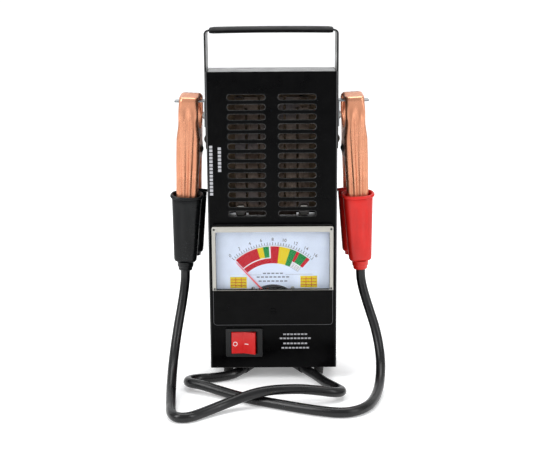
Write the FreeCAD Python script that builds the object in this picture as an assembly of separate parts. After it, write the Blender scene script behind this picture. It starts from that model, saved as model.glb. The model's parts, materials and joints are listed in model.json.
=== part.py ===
import FreeCAD, Part
import math
import os

# Handheld battery load tester: sheet-steel case, panel meter, rocker switch, carrying strap and two spring clamps on
# flexible leads.  Millimetres.  While the pieces are made, x is across the case, y is the depth behind the front
# panel's face and z is the height above the case's lower edge; save() then moves each to the part's own frame, whose
# origin is on the ground under the middle of the tester.

V = FreeCAD.Vector
X, Y, Z = V(1, 0, 0), V(0, 1, 0), V(0, 0, 1)

# ---- driving dimensions ------------------------------------------------------------------------------------------
CASE_W, CASE_D, CASE_H = 107.0, 60.0, 250.0
SHEET = 1.0                       # steel sheet of the case
BEND_R = 1.6                      # outside radius of a folded edge
FOOT_H = 11.0                     # rubber feet hold the case this far above the ground
GAP = 0.2                         # all round, where one cover slides into the other

SLOT_ROWS, SLOT_PITCH, SLOT_Z0 = 13, 8.0, 133.4
SLOT_L, SLOT_H, SLOT_X = 31.0, 4.6, 20.7

METER_W, METER_Z0, METER_Z1 = 100.0, 40.4, 124.4
METER_PROUD, FLANGE_T = 10.0, 4.0
BARREL_R, BARREL_Z, BARREL_D = 27.0, 68.0, 26.0
COVER_TOP = 70.4                  # upper edge of the meter's black lower cover
COVER_PROUD = 0.6
PIVOT_Z = 60.0                    # pointer axis
ZERO_Z = 53.0                     # zero adjuster axis
POINTER_REST = -42.4              # degrees from upright, clockwise seen from the front
APERTURE_R, APERTURE_Z = 23.6, 50.4

SWITCH_X, SWITCH_Z = -24.7, 22.7
BEZEL_W, BEZEL_H, BEZEL_T = 31.0, 25.0, 2.0
SWITCH_W, SWITCH_H, SWITCH_D = 28.0, 22.0, 21.0
ROCKER_W, ROCKER_H, ROCKER_TILT = 20.4, 19.0, 9.0

STRAP_T, STRAP_Y0, STRAP_Y1 = 1.5, 15.0, 45.0
STRAP_LOW, STRAP_TOP, STRAP_R = 185.0, 283.0, 3.8
GRIP_L, GRIP_T, GRIP_W = 101.0, 5.8, 34.0

REST_Z, REST_T, REST_OUT = 224.3, 1.2, 81.0
REST_Y0, REST_Y1 = 21.0, 39.0

CLAMP_X, CLAMP_Y, CLAMP_Z = 69.0, 30.0, 184.5      # pivot pin of a hanging clamp
CLAMP_LEAN, CLAMP_YAW = 2.26, 5.0                  # degrees outwards at the foot; degrees turned outwards
TIP_Z, END_Z = 46.5, -88.0                         # along the clamp from its pin
WEB_OUT, BEND_Z = 16.5, -24.0                      # webs stand this far from the pin, down to the handle's bend
PLATE = 1.0                                        # steel of a clamp half
MOUTH_R, MOUTH_Z = 14.5, 31.0
PIN_R, EAR_R = 2.0, 7.8
BOOT_TOP, BOOT_SHOULDER, BOOT_STEP, BOOT_END = -38.5, -94.5, -99.0, -102.0
NECK_Y, NECK_R = -14.9, 6.2
BOOT_WALL, BOOT_INSET = 1.5, 3.4         # the sleeve's middle lies this far inside the handle's web
RIM_HALF = (13.9, 9.3)                   # half width and half depth of a sleeve's rolled rim

BOLT_X, BOLT_Z = 26.5, 133.5
ELEMENT_Y, ELEMENT_T, STRIP_W, STRIP_PITCH = 18.0, 0.8, 8.6, 10.6
ELEMENT_Z0, ELEMENT_Z1 = 129.0, 228.0
BOARD_Y, BOARD_T = 34.0, 2.5

LEAD_D = 8.0
RELIEF_X, RELIEF_Y, RELIEF_L = 16.0, 36.0, 23.0
RELIEF_Z = -5.6
RELIEF_TURN = 25.0                # degrees outwards from straight ahead
FOOT_X, FOOT_Y_FRONT, FOOT_Y_REAR, FOOT_R = 39.0, 15.0, 51.0, 4.6

FRONT_MOST = -METER_PROUD - 1.2   # tip of the zero adjuster
CENTRE_Y = (FRONT_MOST + CASE_D) / 2

# Routes of the two leads, by hand: from the strain relief under the case, along the ground in front of it and up
# into the clamp on the other side.  The first and last points come from the pieces that they meet.
RED_LEAD = [(-37.5, -1.0, -6.4), (-50.0, -5.0, -7.0), (-62.5, -6.5, -7.0), (-71.5, -14.0, -5.6), (-71.0, -25.0, -4.0),
            (-61.0, -31.0, -3.4), (-46.5, -38.5, -5.4), (-24.0, -53.0, -7.0), (4.0, -67.5, -7.0),
            (33.0, -81.5, -7.0), (56.0, -88.0, -7.0), (73.5, -75.5, -7.0), (82.5, -53.0, -6.6), (88.0, -29.0, -3.4),
            (90.5, -9.0, 10.5), (87.5, 3.5, 31.0), (80.5, 11.0, 52.0), (75.2, 14.6, 70.0)]
BLACK_LEAD = [(36.0, -2.5, -6.4), (43.0, -18.0, -7.0), (51.5, -32.5, -6.4), (56.5, -45.5, -5.0), (49.5, -54.5, -2.6),
              (36.0, -56.5, 0.2), (18.0, -59.0, 2.8), (-10.0, -64.0, 3.0), (-34.0, -69.0, -4.0),
              (-55.0, -84.5, -7.0), (-66.0, -94.5, -7.0), (-76.5, -94.0, -7.0), (-82.5, -84.0, -7.0),
              (-84.5, -66.5, -6.6), (-86.5, -42.0, -2.0), (-86.5, -17.5, 12.0), (-83.0, 0.5, 34.0), (-78.5, 10.5, 55.0),
              (-75.0, 14.6, 72.0)]


# ---- helpers -----------------------------------------------------------------------------------------------------
def box(x0, x1, y0, y1, z0, z1):
    return Part.makeBox(x1 - x0, y1 - y0, z1 - z0, V(x0, y0, z0))


def cyl(r, start, axis, length):
    return Part.makeCylinder(r, length, V(*start), axis)


def cyl_y(r, x, z, y0, y1):
    return cyl(r, (x, y0, z), Y, y1 - y0)


def cyl_x(r, y, z, x0, x1):
    return cyl(r, (x0, y, z), X, x1 - x0)


def hexagon_y(across_flats, x, z, y0, y1):
    r = across_flats / math.sqrt(3)
    turns = [math.radians(60 * i) for i in range(7)]
    rim = [V(x + r * math.cos(a), y0, z + r * math.sin(a)) for a in turns]
    return Part.Face(Part.makePolygon(rim)).extrude(V(0, y1 - y0, 0))


def union(shapes):
    whole = shapes[0]
    for shape in shapes[1:]:
        whole = whole.fuse(shape)
    return whole.removeSplitter()


def cut(shape, tools):
    for tool in tools:
        shape = shape.cut(tool)
    return shape.removeSplitter()


def prism(points, travel):
    return Part.Face(Part.makePolygon([V(*p) for p in points + points[:1]])).extrude(V(*travel))


def straight(edge):
    return edge.Curve.TypeId == "Part::GeomLine"


def round_edges(shape, radius, wanted):
    chosen = [e for e in shape.Edges if straight(e) and wanted(e)]
    return shape.makeFillet(radius, chosen) if chosen else shape


def along(edge, axis):
    return abs(edge.tangentAt(edge.FirstParameter).dot(axis)) > 0.999


def group(solids):
    return Part.makeCompound(solids)


def save(name, shape):
    moved = shape.copy()
    moved.translate(V(0, -CENTRE_Y, FOOT_H))
    if not moved.isValid():
        print("NOT VALID", name)
    moved.exportStep("parts/" + name + ".step")


def tube(points, radius):
    """Straight runs joined by tangent arcs, each as large as its two runs allow, swept by a circle."""
    points = [V(*p) for p in points]
    edges, radii, length, here = [], [], 0.0, points[0]
    for before, corner, after in zip(points, points[1:], points[2:]):
        back, ahead = before - corner, after - corner
        half_turn = (math.pi - back.getAngle(ahead)) / 2
        reach = 0.45 * min(back.Length, ahead.Length)
        radii.append(reach / math.tan(half_turn))
        back.normalize()
        ahead.normalize()
        first, last = corner + back * reach, corner + ahead * reach
        middle_line = back + ahead
        middle_line.normalize()
        middle = corner + middle_line * (radii[-1] / math.cos(half_turn) - radii[-1])
        edges += [Part.LineSegment(here, first).toShape(), Part.Arc(first, middle, last).toShape()]
        here = last
    edges.append(Part.LineSegment(here, points[-1]).toShape())
    path = Part.Wire(edges)
    heading = points[1] - points[0]
    section = Part.Wire(Part.makeCircle(radius, points[0], heading))
    solid = path.makePipeShell([section], True, False)
    return solid, radii, path.Length


def lead(name, points, radius):
    solid, radii, length = tube(points, radius)
    ideal = math.pi * radius**2 * length
    print(name, "length %.1f" % length, "volume ratio %.4f" % (solid.Volume / ideal), "valid", solid.isValid())
    print("   radii", [round(r, 1) for r in radii])
    save(name, solid)


# ---- case --------------------------------------------------------------------------------------------------------
def slot_cuts(y0, y1):
    """The two columns of round-ended cooling slots."""
    tools = []
    half, r = SLOT_L / 2 - SLOT_H / 2, SLOT_H / 2
    for side in (-1, 1):
        for row in range(SLOT_ROWS):
            x, z = side * SLOT_X, SLOT_Z0 + row * SLOT_PITCH
            tools.append(box(x - half, x + half, y0, y1, z - r, z + r))
            tools += [cyl_y(r, x + end * half, z, y0, y1) for end in (-1, 1)]
    return tools


CASE_SCREW_Z = (20.0, 125.0, 240.0)
CASE_SCREW_Y = 51.0
STRAP_SCREWS = ((30.0, 192.0), (30.0, 212.0))
METER_STUDS = [(x, z) for x in (-44.0, 44.0) for z in (46.0, 118.5)]


def side_holes(x0, x1):
    holes = [cyl_x(1.7, CASE_SCREW_Y, z, x0, x1) for z in CASE_SCREW_Z]
    return holes + [cyl_x(2.1, y, z, x0, x1) for y, z in STRAP_SCREWS]


def front_shell():
    half = CASE_W / 2
    shell = box(-half, half, 0, CASE_D, 0, CASE_H)
    shell = round_edges(shell, BEND_R, lambda e: along(e, Z) and e.Vertexes[0].Y < 1)
    shell = shell.cut(box(-half + SHEET, half - SHEET, SHEET, CASE_D + 1, -1, CASE_H + 1))
    openings = slot_cuts(-1, SHEET + 1)
    openings.append(cyl_y(BARREL_R + 0.5, 0, BARREL_Z, -1, 2))
    openings += [cyl_y(1.8, x, z, -1, 2) for x, z in METER_STUDS]
    w, h = SWITCH_W / 2 + 0.2, SWITCH_H / 2 + 0.2
    openings.append(box(SWITCH_X - w, SWITCH_X + w, -1, 2, SWITCH_Z - h, SWITCH_Z + h))
    openings += side_holes(-half - 1, -half + 2) + side_holes(half - 2, half + 1)
    save("front_shell", cut(shell, openings))


FLANGE_Y = 43.0


def rear_cover():
    half = CASE_W / 2 - SHEET - GAP
    front = SHEET + GAP
    cover = box(-half, half, front, CASE_D, 0, CASE_H)
    cover = round_edges(cover, BEND_R, lambda e: along(e, X) and e.Vertexes[0].Y > CASE_D - 1)
    cover = cover.cut(box(-half - 1, half + 1, front - 1, CASE_D - SHEET, SHEET, CASE_H - SHEET))
    flanges = [box(s * half - (SHEET if s > 0 else 0), s * half + (SHEET if s < 0 else 0), FLANGE_Y, CASE_D - 0.5, 2,
                   CASE_H - 2) for s in (-1, 1)]
    cover = union([cover] + flanges)
    openings = slot_cuts(CASE_D - 2, CASE_D + 1)
    openings += [cyl_x(1.7, CASE_SCREW_Y, z, -half - 1, half + 1) for z in CASE_SCREW_Z]
    openings += [cyl(5.1, (s * RELIEF_X, RELIEF_Y, -1), Z, 3) for s in (-1, 1)]
    openings += [cyl(2.1, (s * FOOT_X, y, -1), Z, 3) for s in (-1, 1) for y in (FOOT_Y_FRONT, FOOT_Y_REAR)]
    openings += [cyl_y(1.7, x, z, CASE_D - 2, CASE_D + 1) for x, z in BOARD_FIXINGS]
    save("rear_cover", cut(cover, openings))


BOARD_FIXINGS = [(x, z) for x in (-44.0, 44.0) for z in (134.0, 228.0)]


def case_screws():
    """Pan heads outside the walls, threads through the covers' flanges."""
    solids = []
    for s in (-1, 1):
        wall = s * CASE_W / 2
        for z in CASE_SCREW_Z:
            head = Part.makeSphere(4.2, V(wall - s * 2.2, CASE_SCREW_Y, z))
            head = head.common(cyl(3.4, (wall, CASE_SCREW_Y, z), X * s, 3))
            cross = box(wall + s * 1.6 - 1, wall + s * 1.6 + 1, CASE_SCREW_Y - 2, CASE_SCREW_Y + 2, z - 0.4, z + 0.4)
            cross = cross.fuse(box(wall + s * 1.6 - 1, wall + s * 1.6 + 1, CASE_SCREW_Y - 0.4, CASE_SCREW_Y + 0.4,
                                   z - 2, z + 2))
            shank = cyl(1.6, (wall, CASE_SCREW_Y, z), X * -s, 5.5)
            solids.append(head.cut(cross).fuse(shank).removeSplitter())
    save("case_screws", group(solids))


def feet():
    solids = []
    for s in (-1, 1):
        for y in (FOOT_Y_FRONT, FOOT_Y_REAR):
            body = Part.makeCone(FOOT_R - 0.8, FOOT_R, FOOT_H, V(s * FOOT_X, y, -FOOT_H), Z)
            body = body.makeFillet(0.7, [body.Edges[i] for i in range(len(body.Edges))
                                         if body.Edges[i].BoundBox.ZMax < -FOOT_H + 0.01])
            stem = cyl(2.0, (s * FOOT_X, y, 0), Z, SHEET)
            barb = Part.makeCone(3.0, 1.6, 3.0, V(s * FOOT_X, y, SHEET), Z)
            solids.append(union([body, stem, barb]))
    save("feet", group(solids))


# ---- strap handle and clamp rests --------------------------------------------------------------------------------
def strap_profile(x, top, radius, low):
    """Outline of the strap seen from the front, from one leg's foot over to the other's."""
    k = radius * (1 - math.sqrt(0.5))
    edges = [Part.LineSegment(V(-x, 0, low), V(-x, 0, top - radius)),
             Part.Arc(V(-x, 0, top - radius), V(-x + k, 0, top - k), V(-x + radius, 0, top)),
             Part.LineSegment(V(-x + radius, 0, top), V(x - radius, 0, top)),
             Part.Arc(V(x - radius, 0, top), V(x - k, 0, top - k), V(x, 0, top - radius)),
             Part.LineSegment(V(x, 0, top - radius), V(x, 0, low))]
    return [e.toShape() for e in edges]


def handle_strap():
    outer, inner = CASE_W / 2 + STRAP_T, CASE_W / 2
    rim = strap_profile(outer, STRAP_TOP, STRAP_R, STRAP_LOW)
    well = strap_profile(inner, STRAP_TOP - STRAP_T, STRAP_R - STRAP_T, STRAP_LOW)
    feet_edges = [Part.LineSegment(V(s * outer, 0, STRAP_LOW), V(s * inner, 0, STRAP_LOW)).toShape() for s in (-1, 1)]
    wire = Part.Wire(Part.__sortEdges__(rim + well + feet_edges))
    strap = Part.Face(wire).extrude(V(0, STRAP_Y1 - STRAP_Y0, 0))
    strap.translate(V(0, STRAP_Y0, 0))
    strap = round_edges(strap, 4.0, lambda e: along(e, X) and e.BoundBox.ZMax < STRAP_LOW + 1 and e.Length < 2)
    holes = [cyl_x(2.1, y, z, -outer - 1, outer + 1) for y, z in STRAP_SCREWS]
    save("handle_strap", cut(strap, holes))


def rounded_slab(x0, x1, y0, y1, z0, z1, radius):
    slab = box(x0, x1, y0, y1, z0, z1)
    return round_edges(slab, radius, lambda e: along(e, X))


def grip_sleeve():
    mid_y, mid_z = (STRAP_Y0 + STRAP_Y1) / 2, STRAP_TOP - STRAP_T / 2
    sleeve = rounded_slab(-GRIP_L / 2, GRIP_L / 2, mid_y - GRIP_W / 2, mid_y + GRIP_W / 2, mid_z - GRIP_T / 2,
                          mid_z + GRIP_T / 2, 2.6)
    bore = box(-GRIP_L, GRIP_L, STRAP_Y0 - 0.1, STRAP_Y1 + 0.1, STRAP_TOP - STRAP_T - 0.1, STRAP_TOP + 0.1)
    save("grip_sleeve", sleeve.cut(bore))


def clamp_rest(name, s):
    """An angle plate screwed to the strap: its flat tongue carries a closed clamp."""
    inside = CASE_W / 2 + STRAP_T
    leg = box(min(s * inside, s * (inside + REST_T)), max(s * inside, s * (inside + REST_T)), REST_Y0, REST_Y1,
              203.0, REST_Z)
    tongue = box(min(s * inside, s * REST_OUT), max(s * inside, s * REST_OUT), REST_Y0, REST_Y1, REST_Z - REST_T / 2,
                 REST_Z + REST_T / 2)
    plate = union([leg, tongue])
    plate = round_edges(plate, 3.5, lambda e: along(e, Z) and abs(e.BoundBox.XMax) > 0 and
                        abs(abs(e.Vertexes[0].X) - REST_OUT) < 0.1)
    y, z = STRAP_SCREWS[1]
    save(name, plate.cut(cyl_x(2.1, y, z, -CASE_W, CASE_W)))


def handle_screws():
    solids = []
    for s in (-1, 1):
        for (y, z), packing in zip(STRAP_SCREWS, (STRAP_T, STRAP_T + REST_T)):
            seat = s * (CASE_W / 2 + packing)
            head = Part.makeSphere(4.6, V(seat - s * 2.4, y, z)).common(cyl(3.7, (seat, y, z), X * s, 3))
            shank = cyl(1.95, (seat, y, z), X * -s, packing + SHEET + 2.6)
            nut_at = s * (CASE_W / 2 - SHEET)
            nut = cyl(3.4, (nut_at, y, z), X * -s, 2.4).cut(cyl(2.0, (nut_at, y, z), X * -s, 3))
            solids += [head.fuse(shank).removeSplitter(), nut]
    save("handle_screws", group(solids))


# ---- panel meter -------------------------------------------------------------------------------------------------
def meter_front_block(x, y0, y1, z0, z1, radius):
    block = box(-x, x, y0, y1, z0, z1)
    return round_edges(block, radius, lambda e: along(e, Y))


def meter_housing():
    half = METER_W / 2
    flange = meter_front_block(half, -FLANGE_T, 0, METER_Z0, METER_Z1, 2.0)
    flange = flange.cut(box(-47.6, 47.6, -FLANGE_T - 1, -1.6, METER_Z0 + 2.4, METER_Z1 - 3.9))
    barrel = cyl_y(BARREL_R, 0, BARREL_Z, 0, BARREL_D)
    body = flange.fuse(barrel)
    body = body.cut(cyl_y(BARREL_R - 2, 0, BARREL_Z, -2, BARREL_D - 2))
    holes = [cyl_y(2.1, s * 12.0, BARREL_Z, BARREL_D - 3, BARREL_D + 1) for s in (-1, 1)]
    save("meter_housing", cut(body, holes))


def meter_window():
    half = METER_W / 2
    block = meter_front_block(half, -METER_PROUD, -FLANGE_T, METER_Z0, METER_Z1, 2.0)
    block = block.makeFillet(0.8, [e for e in block.Edges if e.BoundBox.YMax < -METER_PROUD + 0.01])
    hollow = box(-47.7, 47.7, -METER_PROUD + 1.6, -FLANGE_T + 1, METER_Z0 + 2.3, METER_Z1 - 3.9)
    recess = box(-48.5, 48.5, -METER_PROUD - 1, -METER_PROUD + 1.0, METER_Z0 + 1.5, COVER_TOP + 0.1)
    recess = round_edges(recess, 2.0, lambda e: along(e, Y) and e.BoundBox.ZMax < METER_Z0 + 2)
    save("meter_window", cut(block, [hollow, recess, cyl_y(2.65, 0, ZERO_Z, -12, 0)]))


def meter_lower_cover():
    cover = box(-48.3, 48.3, -METER_PROUD - COVER_PROUD, -METER_PROUD + 0.9, METER_Z0 + 1.7, COVER_TOP)
    cover = round_edges(cover, 1.9, lambda e: along(e, Y) and e.BoundBox.ZMax < METER_Z0 + 3)
    rim = [e for e in cover.Edges if e.BoundBox.YMax < -METER_PROUD - COVER_PROUD + 0.01]
    cover = cover.makeFillet(0.4, rim)
    save("meter_lower_cover", cover.cut(cyl_y(2.65, 0, ZERO_Z, -12, 0)))


DIAL_SCREWS = [(-16.4, 70.6), (16.4, 70.6)]


def dial_plate():
    plate = box(-47.0, 47.0, -3.4, -2.8, 64.5, 120.0)
    cuts = [cyl_y(APERTURE_R, 0, APERTURE_Z, -5, 0)] + [cyl_y(1.0, x, z, -5, 0) for x, z in DIAL_SCREWS]
    save("dial_plate", cut(plate, cuts))


def dial_screws():
    solids = []
    for x, z in DIAL_SCREWS:
        head = cyl_y(1.7, x, z, -4.2, -3.4).cut(box(x - 2, x + 2, -4.3, -3.9, z - 0.25, z + 0.25))
        solids.append(head.fuse(cyl_y(0.95, x, z, -3.4, 0.5)).removeSplitter())
    save("dial_screws", group(solids))


def magnet_yoke():
    """Ring magnet with the lugs that carry the dial, on two posts from the back of the housing."""
    ring = cyl_y(15.5, 0, PIVOT_Z, 0.5, 14)
    parts = [ring]
    for s, (x, z) in zip((-1, 1), DIAL_SCREWS):
        parts.append(cyl_y(2.4, x, z, -2.8, 4))
        link = box(-2.0, 2.0, 0.5, 4, 12.0, 19.0)
        link.rotate(V(0, 0, 0), Y, math.degrees(math.atan2(x, z - PIVOT_Z)))
        link.translate(V(0, 0, PIVOT_Z))
        parts.append(link)
        parts.append(cyl_y(2.0, s * 13.2, PIVOT_Z, 14, BARREL_D - 2))
    bores = [cyl_y(11.0, 0, PIVOT_Z, 0, 15)] + [cyl_y(1.0, x, z, -3, 1) for x, z in DIAL_SCREWS]
    save("magnet_yoke", cut(union(parts), bores))


def iron_core():
    """Core inside the coil, held from behind by an arm to the ring."""
    core = cyl_y(7.5, 0, PIVOT_Z, 1.5, 12.5).cut(cyl_y(1.2, 0, PIVOT_Z, 0, 14))
    arm = box(6.0, 10.9, 12.5, 13.6, PIVOT_Z - 1.5, PIVOT_Z + 1.5)
    save("iron_core", union([core, arm]))


def movement_bridge():
    """Front bearing bridge on two pillars, with its jewel screw."""
    strip = box(-15.0, 15.0, -6.6, -5.8, PIVOT_Z - 3, PIVOT_Z + 3)
    pillars = [cyl_y(1.8, s * 13.2, PIVOT_Z, -5.8, 0.5) for s in (-1, 1)]
    jewel = cyl_y(2.2, 0, PIVOT_Z, -7.4, -4.9).cut(box(-3, 3, -7.5, -7.0, PIVOT_Z - 0.3, PIVOT_Z + 0.3))
    socket = cyl_y(0.55, 0, PIVOT_Z, -5.7, -4.8)
    save("movement_bridge", cut(union([strip, jewel] + pillars), [socket]))


def turned(shape, degrees):
    shape = shape.copy()
    shape.rotate(V(0, 0, PIVOT_Z), Y, degrees)
    return shape


def moving_coil():
    frame = box(-1.3, 1.3, -1.6, 15.0, PIVOT_Z - 9.9, PIVOT_Z + 9.9)
    frame = frame.cut(box(-2, 2, -0.6, 14.0, PIVOT_Z - 8.7, PIVOT_Z + 8.7))
    front_pin = cyl_y(0.5, 0, PIVOT_Z, -5.4, -1.6)
    rear_pin = cyl_y(0.5, 0, PIVOT_Z, 15.0, 18.0)
    save("moving_coil", turned(union([frame, front_pin, rear_pin]), POINTER_REST))


def rear_bearing():
    """Cross plate behind the coil with the rear jewel."""
    plate = box(-11.0, 11.0, 17.0, 18.6, PIVOT_Z - 3, PIVOT_Z + 3)
    pad = cyl_y(2.2, 0, PIVOT_Z, 17.0, 20.0)
    save("rear_bearing", cut(union([plate, pad]), [cyl_y(0.55, 0, PIVOT_Z, 16.5, 18.2)]))


def pointer():
    needle = prism([(-0.9, -4.6, PIVOT_Z), (-0.35, -4.6, PIVOT_Z + 44.0), (0.0, -4.6, PIVOT_Z + 45.5),
                    (0.35, -4.6, PIVOT_Z + 44.0), (0.9, -4.6, PIVOT_Z)], (0, 0.4, 0))
    hub = cyl_y(2.2, 0, PIVOT_Z, -4.6, -3.9).fuse(cyl_y(1.4, 0, PIVOT_Z, -3.9, -2.4))
    tail = box(-0.6, 0.6, -4.6, -4.2, PIVOT_Z - 9.0, PIVOT_Z)
    weight = cyl_y(1.7, 0, PIVOT_Z - 9.0, -4.7, -3.7)
    arms = box(-7.0, 7.0, -4.6, -4.2, PIVOT_Z - 0.5, PIVOT_Z + 0.5)
    body = union([needle, hub, tail, weight, arms]).cut(cyl_y(0.52, 0, PIVOT_Z, -6, 0))
    save("pointer", turned(body, POINTER_REST))


def zero_adjuster():
    body = cyl_y(2.5, 0, ZERO_Z, FRONT_MOST, -7.4)
    body = body.makeFillet(0.3, [e for e in body.Edges if e.BoundBox.YMax < FRONT_MOST + 0.01])
    slot = box(-3, 3, FRONT_MOST - 1, FRONT_MOST + 0.7, ZERO_Z - 0.4, ZERO_Z + 0.4)
    collar = cyl_y(3.4, 0, ZERO_Z, -8.3, -7.4)
    finger = cyl_y(0.6, 0, ZERO_Z + 1.5, -7.4, -5.2)
    save("zero_adjuster", cut(union([body, collar, finger]), [slot]))


def meter_fixings():
    save("meter_studs", group([cyl_y(1.5, x, z, 0, 7.0) for x, z in METER_STUDS]))
    nuts = [hexagon_y(5.5, x, z, SHEET, SHEET + 2.4).cut(cyl_y(1.55, x, z, 0, 5)) for x, z in METER_STUDS]
    save("meter_nuts", group(nuts))
    save("terminal_studs", group([cyl_y(1.95, s * 12.0, BARREL_Z, BARREL_D - 6, BARREL_D + 11) for s in (-1, 1)]))
    nuts = []
    for s in (-1, 1):
        for y0 in (BARREL_D, BARREL_D + 4.4):
            nuts.append(hexagon_y(7.0, s * 12.0, BARREL_Z, y0, y0 + 2.8).cut(cyl_y(2.0, s * 12.0, BARREL_Z, 0, 60)))
    save("terminal_nuts", group(nuts))


def calibration_board():
    y0 = BARREL_D + 2.8
    board = box(-20.0, 20.0, y0, y0 + 1.6, 56.0, 82.0)
    save("calibration_board", cut(board, [cyl_y(2.1, s * 12.0, BARREL_Z, 0, 60) for s in (-1, 1)]))
    top = y0 + 1.6
    solids = [cyl_x(1.5, top + 1.5, z, -6.0, 4.0) for z in (74.0, 78.5)]
    solids.append(box(-4.0, 3.0, top, top + 4.5, 58.0, 64.5))
    solids.append(cyl_y(3.2, 10.5, 77.0, top, top + 6.0))
    save("board_components", group(solids))


# ---- rocker switch -----------------------------------------------------------------------------------------------
def switch_body():
    w, h = BEZEL_W / 2, BEZEL_H / 2
    bezel = box(-w, w, -BEZEL_T, 0, -h, h)
    bezel = round_edges(bezel, 1.2, lambda e: along(e, Y))
    bezel = bezel.makeFillet(0.5, [e for e in bezel.Edges if e.BoundBox.YMax < -BEZEL_T + 0.01])
    body = box(-SWITCH_W / 2, SWITCH_W / 2, 0, SWITCH_D, -SWITCH_H / 2, SWITCH_H / 2)
    well = box(-11.3, 11.3, -BEZEL_T - 1, 13.0, -9.85, 9.85)
    pin_holes = cyl(1.55, (0, 1.0, -10.8), Z, 21.6)
    whole = cut(union([bezel, body]), [well, pin_holes])
    whole.translate(V(SWITCH_X, 0, SWITCH_Z))
    save("switch_body", whole)


def rocker():
    """Shallow dished key on two stub pins, resting with its right end out."""
    w = ROCKER_W / 2
    profile = [(-w, -5.2), (0, -3.0), (w, -5.2), (w, -0.5), (6.5, 5.0), (-6.5, 5.0), (-w, -0.5)]
    key = prism([(x, y, -ROCKER_H / 2) for x, y in profile], (0, 0, ROCKER_H))
    key = round_edges(key, 0.6, lambda e: e.BoundBox.YMax < -2.9 and not (along(e, Z) and abs(e.Vertexes[0].X) < 1))
    pins = cyl(1.5, (0, 0, -10.6), Z, 21.2)
    key = key.fuse(pins).removeSplitter()
    key.rotate(V(0, 0, 0), Z, -ROCKER_TILT)
    key.translate(V(SWITCH_X, 1.0, SWITCH_Z))
    save("rocker", key)


def switch_terminals():
    blades = []
    for s in (-1, 1):
        x = SWITCH_X + s * 7.0
        blades.append(box(x - 0.4, x + 0.4, SWITCH_D, SWITCH_D + 9.0, SWITCH_Z - 3.15, SWITCH_Z + 3.15))
    save("switch_terminals", group(blades))


# ---- load element ------------------------------------------------------------------------------------------------
ELEMENT_BOLTS = [(s * BOLT_X, z) for z in (BOLT_Z, 223.5) for s in (-1, 1)]


def load_element():
    """Flat resistance strip folded back and forth between its two bolts."""
    xs = [(i - 2.5) * STRIP_PITCH for i in range(6)]
    y0, y1 = ELEMENT_Y, ELEMENT_Y + ELEMENT_T
    runs = [box(x - STRIP_W / 2, x + STRIP_W / 2, y0, y1, ELEMENT_Z0, ELEMENT_Z1) for x in xs]
    turns = []
    for i, (a, b) in enumerate(zip(xs, xs[1:])):
        z = ELEMENT_Z1 - STRIP_W if i % 2 == 0 else ELEMENT_Z0
        turns.append(box(a, b, y0, y1, z, z + STRIP_W))
    holes = [cyl_y(2.6, x, z, 0, 60) for x, z in ELEMENT_BOLTS]
    save("load_element", cut(union(runs + turns), holes))


def element_supports():
    places = ELEMENT_BOLTS
    tubes = [cyl_y(4.5, x, z, ELEMENT_Y + ELEMENT_T, BOARD_Y).cut(cyl_y(2.6, x, z, 0, 60)) for x, z in places]
    save("ceramic_spacers", group(tubes))
    bolts, nuts = [], []
    for x, z in places:
        head = hexagon_y(8.0, x, z, ELEMENT_Y - 3.5, ELEMENT_Y)
        bolts.append(head.fuse(cyl_y(2.4, x, z, ELEMENT_Y, 46.0)).removeSplitter())
        seat = BOARD_Y + BOARD_T + (1.2 if z < 200 else 0)
        nuts.append(hexagon_y(8.0, x, z, seat, seat + 4).cut(cyl_y(2.45, x, z, 0, 60)))
    save("element_bolts", group(bolts))
    save("element_nuts", group(nuts))
    board = box(-48.0, 48.0, BOARD_Y, BOARD_Y + BOARD_T, 129.5, 234.0)
    holes = [cyl_y(2.6, x, z, 0, 60) for x, z in places] + [cyl_y(1.7, x, z, 0, 60) for x, z in BOARD_FIXINGS]
    save("element_board", cut(board, holes))
    posts = [cyl_y(3.6, x, z, BOARD_Y + BOARD_T, CASE_D - SHEET).cut(cyl_y(1.6, x, z, 0, BOARD_Y + 14))
             for x, z in BOARD_FIXINGS]
    save("board_standoffs", group(posts))
    screws = [cyl_y(2.9, x, z, BOARD_Y - 2, BOARD_Y).fuse(cyl_y(1.5, x, z, BOARD_Y, BOARD_Y + 12)).removeSplitter()
              for x, z in BOARD_FIXINGS]
    save("board_screws", group(screws))


def heat_shield():
    half = CASE_W / 2 - 2 * SHEET - GAP
    plate = box(-half, half, 3.0, 36.0, 126.6, 127.4)
    sides = [box(min(s * half, s * (half - 0.8)), max(s * half, s * (half - 0.8)), 3.0, 36.0, 117.0, 126.6)
             for s in (-1, 1)]
    lip = box(-half, half, 3.0, 3.8, 127.4, 129.2)
    save("heat_shield", union([plate, lip] + sides))


# ---- wiring inside the case --------------------------------------------------------------------------------------
WIRE_R = 3.4
LUG_Y = BOARD_Y + BOARD_T


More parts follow.
